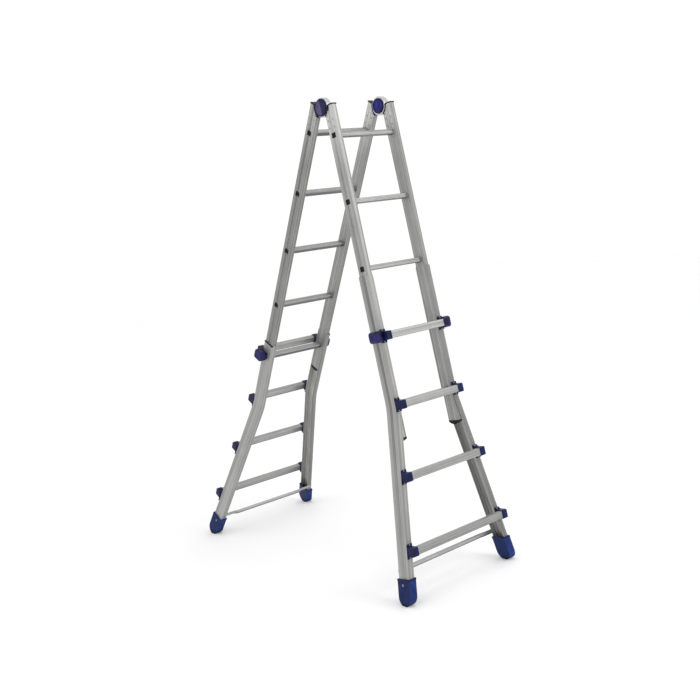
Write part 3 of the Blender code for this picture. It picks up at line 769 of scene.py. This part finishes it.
def make_stile(leg, side_name):
    side = leg.sides[side_name]
    node = f"{leg.name}_stile_{side_name}"
    at = leg.span(node, side)
    middle = at.middle.y
    flange_lines = [(at.low.x + FLANGE_LINE_IN, *FLANGE_LINE), (at.high.x - FLANGE_LINE_IN, *FLANGE_LINE)]
    cuts = {
        "+x": [(middle, *PIN_GROOVE)],
        "-x": [(middle - FACE_GROOVE_OFF, *FACE_GROOVE), (middle, *MIDDLE_LINE),
               (middle + FACE_GROOVE_OFF, *FACE_GROOVE)],
        "+y": flange_lines,
        "-y": flange_lines,
    }
    wall = Vector((STILE_WALL, STILE_WALL, 0))
    width, depth = PIN_GROOVE
    hollow_cuts = {"+x": [(middle, width + 2 * STILE_WALL, depth)]}
    outer = profile(at.low, at.high, STILE_RADIUS, cuts)
    hollow = profile(at.low + wall, at.high - wall, STILE_RADIUS / 2, hollow_cuts)
    top = at.high.z - TRIM_OUT - PLAY
    mesh = extrude([to_side(outer, side), to_side(hollow, side)], at.low.z + PLUG_FLANGE, top)
    cutters = [drum(DRUM_CLEAR, -2 * at.high.x, 2 * at.high.x)]
    for index in range(RUNGS):
        hole = leg.span(f"{leg.name}_rung_{index + 1}")
        play = Vector((at.high.x, STEP_PLAY, STEP_PLAY))
        cutters.append(box(hole.low - play, hole.high + play))
    piece(node.replace("stile", "inner_stile"), boolean(mesh, cut_by(*cutters)), leg.inner_metal,
          leg.place, leg.inner, [node])


def tread_cuts(low, high):
    """Anti-slip grooves for both the top and the bottom of a rung, and two lines on each face."""
    count = int((high[0] - low[0] - 2 * TUBE_RADIUS) / TREAD_PITCH)
    first = (low[0] + high[0]) / 2 - (count - 1) / 2 * TREAD_PITCH
    treads = [(first + index * TREAD_PITCH, *TREAD_RIB) for index in range(count)]
    third = (high[1] - low[1]) / 3
    faces = [(low[1] + third, *TREAD_RIB), (high[1] - third, *TREAD_RIB)]
    return {"+y": treads, "-y": treads, "+x": faces, "-x": faces}


def make_tube(leg, node, name, material, body):
    """A rectangular tube with ribbed top and bottom, open at both ends."""
    at = leg.span(node)
    low, high = at.low.yz, at.high.yz
    inset = Vector((TUBE_WALL, TUBE_WALL))
    outer = profile(low, high, TUBE_RADIUS, tread_cuts(low, high))
    hollow = profile(low + inset, high - inset, TUBE_RADIUS / 2)
    mesh = extrude([outer, hollow], at.low.x, at.high.x, ALONG_X)
    piece(name, mesh, material, leg.place, body, [node])


def make_rung_plugs(leg, side_name):
    """Black plugs in the open ends of the inner rungs, set back in the stile."""
    side = leg.sides[side_name]
    depth, rim, rim_width = RUNG_PLUG
    plugs = []
    for index in range(RUNGS):
        at = leg.span(f"{leg.name}_rung_{index + 1}")
        low, high, end = at.low.yz, at.high.yz, at.high.x
        inset = Vector((rim_width, rim_width))
        wall = Vector((TUBE_WALL, TUBE_WALL)) * 1.2
        frame_lines = [profile(low, high, TUBE_RADIUS), profile(low + inset, high - inset, TUBE_RADIUS / 2)]
        plugs.append(along_x(frame_lines, side, end, end + rim))
        filling = profile(low + wall, high - wall, TUBE_RADIUS / 2)
        plugs.append(along_x([filling], side, end - depth, end + rim / 3))
    piece(f"{leg.name}_rung_plugs_{side_name}", joined(plugs), BLACK, leg.place, leg.inner)


def channel(near, far, low, high):
    """The section of an outer stile: a C open towards the rungs, with a groove pressed into its web."""
    middle = (low + high) / 2
    outside, inside, lip = SLEEVE_RADIUS, SLEEVE_RADIUS - SLEEVE_WALL, SLEEVE_WALL / 2
    web = far - SLEEVE_WALL
    inner_low, inner_high = low + SLEEVE_WALL, high - SLEEVE_WALL
    outline = arc((near + lip, low + lip), lip, 90, 270)
    outline += arc((far - outside, low + outside), outside, 270, 360)
    outline += pressed(far, middle, *SLEEVE_GROOVE, 1)
    outline += arc((far - outside, high - outside), outside, 0, 90)
    outline += arc((near + lip, high - lip), lip, 90, 270)
    outline += arc((web - inside, inner_high - inside), inside, 90, 0)
    outline += pressed(web, middle, *SLEEVE_RIB, -1)
    return outline + arc((web - inside, inner_low + inside), inside, 0, -90)


def pressed(x, middle, widths, depth, rising):
    """A groove with sloping sides in a side at x, where y is rising (1) or falling (-1)."""
    wide, narrow = (rising * width / 2 for width in widths)
    floor = x - depth
    return [(x, middle - wide), (floor, middle - narrow), (floor, middle + narrow), (x, middle + wide)]


def make_sleeve(leg, side_name):
    """The bent C channel of the outer section."""
    side = leg.sides[side_name]
    node = f"{leg.name}_sleeve_{side_name}"
    at = leg.span(node, side)
    stile = leg.at("stile", side_name)
    outline = channel(stile.low.x, stile.high.x + SLEEVE_OVER, at.low.y, at.high.y)
    mesh = extrude([to_side(outline, side)], at.low.z, at.high.z)
    bend = -leg.hang - BEND_BELOW
    levels = [bend + BEND_HALF * (2 * ring / BEND_RINGS - 1) for ring in range(BEND_RINGS + 1)]
    mesh = spread_mesh(leg, sliced(mesh, levels), side)
    piece(node.replace("sleeve", "outer_stile"), mesh, leg.outer_metal, leg.place, leg.outer,
          [node])


# ---------------------------------------------------------------- plastic pieces on the legs

def make_end_plug(leg, side_name):
    """The black plug in the bottom of an inner stile, domed below and with a neck inside."""
    side = leg.sides[side_name]
    at = leg.at("stile", side_name)
    top = at.low.z + PLUG_FLANGE
    steps = 10
    dome = [(at.low.y, top), (at.high.y, top)]
    for step in range(steps + 1):
        share = 1 - 2 * step / steps
        y = at.middle.y + share * at.size.y / 2
        dome.append((y, at.low.z + 0.002 - PLUG_DOME * (1 - share ** 2)))
    flange = along_x([dome], side, at.low.x, at.high.x)
    wall = Vector((STILE_WALL + PLAY, STILE_WALL + PLAY, 0))
    groove = Vector((PIN_GROOVE[1], 0, 0))
    neck = profile(at.low + wall, at.high - wall - groove, STILE_RADIUS / 2)
    stem = extrude([to_side(neck, side)], at.low.z + PLUG_FLANGE / 2, at.low.z + 2.5 * PLUG_FLANGE)
    width, depth = PIN_GROOVE
    notch = profile((at.middle.y - width / 2 - PLAY, at.low.z - 2 * PLUG_DOME),
                    (at.middle.y + width / 2 + PLAY, top + PLUG_FLANGE), SMALL_EDGE)
    cut = along_x([notch], side, at.high.x - depth - PLAY, at.high.x + depth)
    mesh = boolean(flange, [*cut_by(cut), ("UNION", stem)])
    piece(f"{leg.name}_stile_plug_{side_name}", mesh, BLACK, leg.place, leg.inner,
          edge=SMALL_EDGE, segments=2)


def make_stile_trim(leg, side_name):
    """The black edging over a stile's top end and down its hollow around the hinge drum.

    On the rear leg it ends in a lug, which stops the hinge.
    """
    side = leg.sides[side_name]
    at = leg.at("stile", side_name)
    top = at.high.z - TRIM_OUT - PLAY
    meet = -math.sqrt(DRUM_CLEAR ** 2 - top ** 2)
    start = 180 + math.degrees(math.asin(-top / DRUM_CLEAR))
    end = 360 - math.degrees(math.acos(at.high.y / DRUM_CLEAR))
    line = [(at.low.y - TRIM_PROUD / 2, top), ((at.low.y + meet) / 2, top)]
    line += arc((0, 0), DRUM_CLEAR, start, end, 24)
    near, off = [], []
    for index, point in enumerate(line):
        before = Vector(line[max(index - 1, 0)])
        after = Vector(line[min(index + 1, len(line) - 1)])
        normal = (after - before).normalized().orthogonal()
        near.append(tuple(Vector(point) - normal * TRIM_IN))
        off.append(tuple(Vector(point) + normal * TRIM_OUT))
    x_ends = (at.low.x - TRIM_PROUD, at.high.x + TRIM_PROUD)
    mesh = along_x([near + off[::-1]], side, *x_ends)
    if leg.name == "rear":
        y, z = line[-1]
        long, tall = LUG
        lug = profile((y - TRIM_OUT, z - tall), (y + long - TRIM_OUT / 2, z + tall / 4), tall / 3)
        mesh = boolean(mesh, [("UNION", along_x([lug], side, *x_ends))])
    piece(f"{leg.name}_stile_trim_{side_name}", mesh, BLACK, leg.place, leg.inner,
          edge=SMALL_EDGE, segments=2, smooth=50)


def make_guide(leg, side_name):
    """The black guide that edges the top of an outer section's web."""
    side = leg.sides[side_name]
    at = leg.at("sleeve", side_name)
    stile = leg.at("stile", side_name)
    far = stile.high.x + SLEEVE_OVER + TRIM_PROUD
    near = stile.high.x - GUIDE_RETURN
    outer = profile((near, at.low.y - TRIM_PROUD), (far, at.high.y + TRIM_PROUD), SLEEVE_RADIUS)
    play = Vector((PLAY, PLAY))
    inner = profile((near - GUIDE_RETURN, stile.low.y - PLAY), stile.high.xy + play, PLAY)
    ring = extrude([to_side(outer, side)], at.high.z - GUIDE_HEIGHT, at.high.z)
    hole = extrude([to_side(inner, side)], at.high.z - 2 * GUIDE_HEIGHT, at.high.z + GUIDE_HEIGHT)
    piece(f"{leg.name}_guide_{side_name}", boolean(ring, cut_by(hole)), BLACK,
          leg.place, leg.outer, edge=SMALL_EDGE / 2, segments=2)


def bracket_outline():
    """The side profile of a bracket: two ears on the stile and the socket around the step."""
    round_in = arc((-EAR_BEND, SOCKET_HALF + SOCKET_CORNER), SOCKET_CORNER, 0, -90)
    tip = SOCKET_HALF - SOCKET_TAPER
    round_out = arc((-SOCKET_OUT + SOCKET_CORNER, tip - SOCKET_CORNER), SOCKET_CORNER, 90, 180)
    half = [(-PLAY, EAR_HALF), (-EAR_THICK + 0.001, EAR_HALF), (-EAR_THICK, EAR_HALF - 0.001)]
    half += [(y - SOCKET_CORNER + EAR_BEND - EAR_THICK, z) for y, z in round_in] + round_out
    return half + [(y, -z) for y, z in reversed(half)]


def bracket_mesh(leg, side, index):
    """A bracket that holds the end of one step on the outward flange, and the box to cut for the step."""
    step = leg.span(f"{leg.name}_step_{index + 1}")
    level = step.middle.z
    below = -level - leg.hang
    shift = spread(below)
    slope = FLARE if below > BEND_BELOW else 0.0
    mesh = extrude([bracket_outline()], BRACKET_X[0] + shift, BRACKET_X[1] + shift, ALONG_X)
    for vertex in mesh.vertices:
        if vertex.co.y > -EAR_BEND / 2:
            vertex.co.x -= vertex.co.z * slope
    play = Vector((STEP_PLAY, STEP_PLAY, STEP_PLAY))
    return moved(mirrored(mesh, side), (0, leg.flange, level)), box(step.low - play, step.high + play)


def make_bracket(leg, side_name, index):
    mesh, hole = bracket_mesh(leg, leg.sides[side_name], index)
    node = f"{leg.name}_bracket_{index + 1}_{side_name}"
    piece(node.replace("bracket", "step_bracket"), boolean(mesh, cut_by(hole)), BRACKET_BLUE, leg.place,
          leg.outer, [node], edge=SOFT_EDGE, smooth=40)


def make_lock_housing(leg, side_name):
    """The bracket of the first step, with the plate that carries the lock on the stile's web."""
    side = leg.sides[side_name]
    node = f"{leg.name}_lock_housing_{side_name}"
    at = leg.span(node, side)
    mesh, hole = bracket_mesh(leg, side, 0)
    web = leg.at("stile", side_name).high.x + SLEEVE_OVER
    low = (leg.flange - LOCK_PLATE_BACK, -leg.hang - LOCK_PLATE_HALF)
    plate = profile(low, (at.high.y, -leg.hang + LOCK_PLATE_HALF), GRIP_CORNER / 2)
    steps = [("UNION", along_x([plate], side, web + PLAY, at.high.x)), *cut_by(hole)]
    piece(f"{leg.name}_lock_bracket_{side_name}", boolean(mesh, steps), BRACKET_BLUE, leg.place,
          leg.outer, [node], edge=SOFT_EDGE, smooth=40)


def make_lock_grip(leg, side_name):
    """The grip block of a lock: well rounded all round, with four finger grooves cut across its face, and its
    pin.
    """
    side = leg.sides[side_name]
    node = f"{leg.name}_lock_knob_{side_name}"
    at = leg.span(node, side)
    start = leg.at("lock_housing", side_name).high.x + LOCK_GAP
    levels = [(start, SOFT_EDGE), (start + SOFT_EDGE, 0.0)]
    steps = 7
    for step in range(steps + 1):
        angle = math.pi / 2 * step / steps
        rise, inset = GRIP_EDGE * math.sin(angle), GRIP_EDGE * (1 - math.cos(angle))
        levels.append((at.high.x - GRIP_EDGE + rise, inset))
    rings = []
    for x, inset in levels:
        back = Vector((inset, inset))
        corner = max(GRIP_CORNER - 0.8 * inset, GRIP_CORNER / 3)
        ring = profile(at.low.yz + back, at.high.yz - back, corner, arc_steps=steps)
        rings.append([(x, y, z) for y, z in ring])
    width, depth = GRIP_RIB
    ribs = []
    for share in GRIP_RIB_PLACES:
        y = at.low.y + at.size.y * share
        low = Vector((at.high.x - depth, y - width / 2, at.low.z + GRIP_CORNER))
        high = Vector((at.high.x + depth, y + width / 2, at.high.z - GRIP_CORNER))
        ribs.append(box(low, high))
    pin_y = leg.at("stile", side_name).middle.y
    chamfer = SMALL_EDGE * 2
    pin = turned([(at.low.x, 0), (at.low.x, LOCK_PIN_RADIUS - chamfer), (at.low.x + chamfer, LOCK_PIN_RADIUS),
                  (start + LOCK_PIN_ROOT, LOCK_PIN_RADIUS), (start + LOCK_PIN_ROOT, 0)], 32, pin_y, -leg.hang)
    mesh = mirrored(boolean(loft(rings), [*cut_by(*ribs), ("UNION", pin)]), side)
    piece(f"{leg.name}_lock_grip_{side_name}", mesh, GRIP_VIOLET, leg.place,
          f"{leg.name}_lock_{side_name}", [node], smooth=40)


def dome(radius, high, sides=24):
    """A low round head along X, sunk a little into the face at x = 0 that it stands on."""
    points = [(-SMALL_EDGE, 0), (-SMALL_EDGE, radius), (0.2 * high, radius), (0.55 * high, 0.87 * radius),
              (0.85 * high, 0.6 * radius), (high, 0)]
    return turned(points, sides)


def make_screws(leg, side_name):
    """Pan-head screws through the ears of the brackets on one side."""
    side = leg.sides[side_name]
    heads = []
    for index in range(STEPS):
        level = leg.span(f"{leg.name}_step_{index + 1}").middle.z
        below = -level - leg.hang
        slope = FLARE if below > BEND_BELOW else 0.0
        for off in (-SCREW_OFF, SCREW_OFF):
            head = boolean(dome(*SCREW_HEAD), cut_by(box(*SCREW_SLOT)))
            head.transform(Matrix.Rotation(-math.pi / 2, 4, "Z"))
            x = side * (SCREW_X + spread(below) - off * slope)
            heads.append(moved(head, (x, leg.flange - EAR_THICK, level + off)))
    piece(f"{leg.name}_bracket_screws_{side_name}", joined(heads), STEEL, leg.place, leg.outer)


def make_shoe(leg, side_name):
    """A thick rounded shoe with a rim band and sole grooves, cut level where it stands."""
    side = leg.sides[side_name]
    node = f"{leg.name}_foot_{side_name}"
    at = leg.span(node, side)
    sleeve = leg.at("sleeve", side_name)
    stile = leg.at("stile", side_name)
    web = stile.high.x + SLEEVE_OVER
    middle_x, middle_y = (stile.low.x + web) / 2, stile.middle.y
    radius = at.size.y / 2 - SHOE_BAND
    half = SHOE_HALF - SHOE_BAND
    top, centre = at.high.z, -leg.hang - FOOT_CENTRE
    sole = radius + SHOE_BAND
    outline = [(middle_y + radius, top), (middle_y - radius, top)]
    outline += [(middle_y + (y - middle_y) * radius / sole, z)
                for y, z in arc((middle_y, centre), sole, 180, 360, 28)]
    shell = extrude([outline], middle_x - half, middle_x + half, ALONG_X)
    band_low = (middle_x - SHOE_HALF, at.low.y, top - SHOE_BAND_HEIGHT)
    rim = box(band_low, (middle_x + SHOE_HALF, at.high.y, top))
    pocket = box((stile.low.x - PLAY, sleeve.low.y - PLAY, sleeve.low.z - PLAY),
                 (web + PLAY, sleeve.high.y + PLAY, top + GUIDE_HEIGHT))
    width, depth = SHOE_GROOVE
    grooves = []
    for index in range(SHOE_GROOVES):
        tilt = math.radians(18 * (index - (SHOE_GROOVES - 1) / 2))
        groove = box((0, -width / 2, -sole - depth), (1, width / 2, -sole + depth))
        groove.transform(Matrix.Translation((0, middle_y, centre)) @ Matrix.Rotation(tilt, 4, "X"))
        grooves.append(groove)
    mesh = boolean(shell, [("UNION", rim), *cut_by(pocket, joined(grooves))])
    mesh = spread_mesh(leg, mirrored(mesh, side), side)
    floor = box((-1, -3, -1), (1, 3, 0))
    floor.transform(leg.place.inverted())
    piece(f"{leg.name}_shoe_{side_name}", boolean(mesh, cut_by(floor)), FOOT_BLUE, leg.place,
          leg.outer, [node], edge=SOFT_EDGE * 1.4, smooth=40)


def make_shoe_rivet(leg, side_name):
    """The domed rivet that holds a shoe through the web."""
    side = leg.sides[side_name]
    stile = leg.at("stile", side_name)
    face = (stile.low.x + stile.high.x + SLEEVE_OVER) / 2 + SHOE_HALF - SHOE_BAND
    level = leg.at("foot", side_name).high.z - SHOE_RIVET_BELOW
    place = (face + spread(-level - leg.hang), stile.middle.y + SHOE_RIVET_OFF, level)
    head = mirrored(moved(dome(*SHOE_RIVET, 32), place), side)
    piece(f"{leg.name}_shoe_rivet_{side_name}", head, STEEL, leg.place, leg.outer)


def make_tie_bar(leg):
    """The oval tie bar with pressed flat ends, each held by a rivet."""
    node = f"{leg.name}_tie_rod"
    at = leg.span(node)
    reach, face = at.high.x, at.low.y
    round_tall, round_deep = BAR_ROUND
    round_middle = at.high.y - round_deep
    pressed_from = reach - BAR_FLAT_LENGTH
    ends = [(reach, 0.0, BAR_CHAMFER[1]), (reach - BAR_CHAMFER[0], 0.0, 0.0), (pressed_from, 0.0, 0.0),
            (pressed_from - BAR_PRESSED_LENGTH, 1.0, 0.0)]
    rings = []
    for x, share, less in ends + [(-x, share, less) for x, share, less in reversed(ends)]:
        half_tall = BAR_FLAT[0] + (round_tall - BAR_FLAT[0]) * share - less
        half_deep = BAR_FLAT[1] + (round_deep - BAR_FLAT[1]) * share
        middle = (face + half_deep) * (1 - share) + round_middle * share
        ring = []
        for step in range(24):
            angle = math.tau * step / 24
            deep = math.copysign(abs(math.cos(angle)) ** (0.35 + 0.65 * share), math.cos(angle))
            tall = math.copysign(abs(math.sin(angle)) ** (0.6 + 0.4 * share), math.sin(angle))
            ring.append((x, middle + half_deep * deep, at.middle.z + half_tall * tall))
        rings.append(ring)
    piece(f"{leg.name}_tie_bar", loft(rings), TIE_STEEL, leg.place, leg.outer, [node])
    rivets = []
    for side in (-1, 1):
        head = dome(*BAR_RIVET)
        head.transform(Matrix.Rotation(math.pi / 2, 4, "Z"))
        rivets.append(moved(head, (side * (reach - BAR_RIVET_IN), face + 2 * BAR_FLAT[1], at.middle.z)))
    piece(f"{leg.name}_tie_bar_rivets", joined(rivets), STEEL, leg.place, leg.outer)


# ---------------------------------------------------------------- hinges

def hinge_tang(arm):
    """The flat tongue of a hinge arm inside its stile."""
    half = STILE_HALF - STILE_WALL - PLAY
    return box((TANG_X[0], STILE_MIDDLE - half, arm.low.z), (TANG_X[1], STILE_MIDDLE + half, TANG_TOP))


def make_hinge(side_name, front, rear):
    """The slotted drum on the front stile and the tongue in it on the rear one."""
    start, end = DRUM_X
    rim, corner = DRUM_RIM, DRUM_RIM * 0.3
    disc = turned([(start, 0), (start, DRUM_RADIUS - rim), (start + corner, DRUM_RADIUS - corner),
                   (start + rim, DRUM_RADIUS), (end - rim, DRUM_RADIUS), (end - corner, DRUM_RADIUS - corner),
                   (end, DRUM_RADIUS - rim), (end, 0)])
    node = f"hinge_front_arm_{side_name}"
    bore = drum(BORE_RADIUS, 0, 1, 48)
    pocket = drum(POCKET[0], 0, POCKET[1])
    steps = [("UNION", hinge_tang(front.span(node))), *cut_by(drum(*TONGUE_SLOT), bore, pocket)]
    piece(f"hinge_drum_{side_name}", mirrored(boolean(disc, steps), front.sides[side_name]), HINGE_METAL,
          front.place, front.inner, [node], smooth=35)

    node = f"hinge_rear_arm_{side_name}"
    inner_cheek = drum(CHEEK_RADIUS, CHEEKS[0], TONGUE[1])
    outer_cheek = drum(CHEEK_RADIUS, TONGUE[2], CHEEKS[1])
    steps = [("UNION", hinge_tang(rear.span(node))), *cut_by(inner_cheek, outer_cheek, bore)]
    mesh = mirrored(boolean(drum(*TONGUE), steps), rear.sides[side_name])
    piece(f"hinge_tongue_{side_name}", mesh, HINGE_METAL, rear.place, rear.inner, [node],
          smooth=35)


def make_hinge_cap(side_name, leg):
    """The dished cap on the outer end of the pivot pin, with a paler half-round pad."""
    side = leg.sides[side_name]
    node = f"hinge_pin_{side_name}"
    at = leg.span(node, side)
    start, end, radius = CAP_START, at.high.x, at.size.z / 2
    floor = end - CAP_DISH
    points = [(at.low.x, 0), (at.low.x, PIN_RADIUS - PIN_CHAMFER), (at.low.x + PIN_CHAMFER, PIN_RADIUS),
              (start, PIN_RADIUS), (start, radius - 0.0004), (start + SMALL_EDGE, radius)]
    points += [(end - back, radius - inward) for back, inward in CAP_RIM]
    mesh = mirrored(turned([*points, (floor, 0)]), side)
    piece(f"hinge_cap_{side_name}", mesh, CAP_NAVY, leg.place, leg.inner, [node], smooth=40)
    outline = arc((0.0015, 0), PAD_RADIUS, -PAD_HALF_TURN, PAD_HALF_TURN, 24)
    pad = extrude([outline], floor - 0.001, end - PLAY, ALONG_X)
    pad.transform(Matrix.Rotation(PAD_TILT, 4, "X"))
    piece(f"hinge_cap_pad_{side_name}", mirrored(pad, side), PAD_VIOLET, leg.place, leg.inner,
          edge=SMALL_EDGE, segments=2, smooth=40)


def make_release_knob(side_name, leg):
    """The push knob on the inner side of a hinge, sunk in the drum's pocket."""
    side = leg.sides[side_name]
    node = f"hinge_release_knob_{side_name}"
    at = leg.span(node, side)
    start, end, radius = at.low.x, at.high.x, at.size.z / 2
    points = [(start + back, out) for back, out in KNOB_FACE]
    points += [(start + back, radius - inward) for back, inward in KNOB_RIM]
    points += [(end, radius), (end, BORE_RADIUS), (RELEASE_BORE_END, BORE_RADIUS), (RELEASE_BORE_END, 0)]
    piece(f"hinge_release_{side_name}", mirrored(turned(points), side), KNOB_BLUE, leg.place,
          f"hinge_release_{side_name}", [node], smooth=40)


def make_tang_rivets(leg, side_name):
    """Rivets through a stile and the hinge tang inside it, and the stop pin below the drum."""
    side = leg.sides[side_name]
    stile = leg.at("stile", side_name)
    heads = []
    places = [(STILE_MIDDLE + off, level, *TANG_RIVET) for level, off in TANG_RIVETS]
    places.append((*STOP_PIN, *STOP_PIN_HEAD))
    for y, z, radius, high in places:
        heads.append(moved(dome(radius, high), (stile.high.x, y, z)))
        heads.append(moved(mirrored(dome(radius, high), -1), (stile.low.x, y, z)))
    piece(f"{leg.name}_tang_rivets_{side_name}", mirrored(joined(heads), side), STEEL, leg.place,
          leg.inner)


# ---------------------------------------------------------------- stage

def make_camera():
    camera = in_scene("camera", bpy.data.cameras.new("camera"))
    level = math.cos(CAMERA_PITCH)
    forward = Vector((math.sin(CAMERA_YAW) * level, math.cos(CAMERA_YAW) * level, -math.sin(CAMERA_PITCH)))
    right = Vector((math.cos(CAMERA_YAW), -math.sin(CAMERA_YAW), 0))
    up = right.cross(forward)
    rolled_right = right * math.cos(CAMERA_ROLL) + up * math.sin(CAMERA_ROLL)
    rolled_up = up * math.cos(CAMERA_ROLL) - right * math.sin(CAMERA_ROLL)
    turn = Matrix((rolled_right, rolled_up, -forward)).transposed().to_4x4()
    camera.matrix_world = Matrix.Translation(HINGE + CAMERA_PLACE) @ turn
    camera.data.lens = CAMERA_LENS
    camera.data.shift_y = CAMERA_SHIFT
    bpy.context.scene.camera = camera


def make_light(name, place, target, size, power):
    data = bpy.data.lights.new(name, "AREA")
    data.shape = "DISK"
    data.size = size
    data.energy = power
    light = in_scene(name, data)
    light.location = place
    light.rotation_euler = (Vector(target) - Vector(place)).to_track_quat("-Z", "Y").to_euler()


def make_floor():
    shape = bmesh.new()
    bmesh.ops.create_grid(shape, x_segments=1, y_segments=1, size=14)
    mesh = finished(shape, "floor")
    floor = in_scene("floor", mesh)
    floor.location.z = -0.0004
    material, tree = new_tree("floor")
    coords = add_node(tree, "ShaderNodeTexCoord").outputs["Object"]
    soft = stretched_noise(tree, coords, (3.0, 3.0, 3.0), 2.0, 0.5)
    tint = mix_colour(tree, soft, (0.95, 0.95, 0.95), (0.98, 0.98, 0.98))
    bump = add_node(tree, "ShaderNodeBump", {"Strength": 0.02, "Distance": 0.001, "Height": soft})
    close_shader(tree, tint, 0.8, bump.outputs["Normal"])
    mesh.materials.append(material)


def make_studio():
    make_camera()
    make_floor()
    scene = bpy.context.scene
    scene.view_settings.view_transform = "Standard"
    world = bpy.data.worlds.new("studio")
    world.use_nodes = True
    background = world.node_tree.nodes["Background"]
    background.inputs["Color"].default_value = (1.0, 1.0, 1.0, 1)
    background.inputs["Strength"].default_value = 1.03
    scene.world = world
    make_light("key", (1.4, -4.6, 2.8), (0, 0, 1.0), 2.8, 68)


def make_leg(leg):
    for index in range(RUNGS):
        node = f"{leg.name}_rung_{index + 1}"
        make_tube(leg, node, node.replace("rung", "inner_rung"), RUNGS_METAL[leg.name], leg.inner)
    for index in range(STEPS):
        node = f"{leg.name}_step_{index + 1}"
        make_tube(leg, node, node.replace("step", "outer_step"), STEPS_METAL[leg.name], leg.outer)
    make_tie_bar(leg)
    for side_name in leg.sides:
        make_stile(leg, side_name)
        make_sleeve(leg, side_name)
        make_rung_plugs(leg, side_name)
        make_end_plug(leg, side_name)
        make_stile_trim(leg, side_name)
        make_tang_rivets(leg, side_name)
        make_lock_housing(leg, side_name)
        make_lock_grip(leg, side_name)
        make_shoe(leg, side_name)
        make_shoe_rivet(leg, side_name)
        make_screws(leg, side_name)
        for index in range(1, STEPS):
            make_bracket(leg, side_name, index)


def make_ladder():
    front = Leg("front", Vector((1, 0, 0)))
    rear = Leg("rear", Vector((-1, 0, 0)))
    make_leg(front)
    make_leg(rear)
    for side_name in rear.sides:
        make_guide(rear, side_name)
        make_hinge(side_name, front, rear)
        make_hinge_cap(side_name, front)
        make_release_knob(side_name, front)


make_studio()
make_ladder()
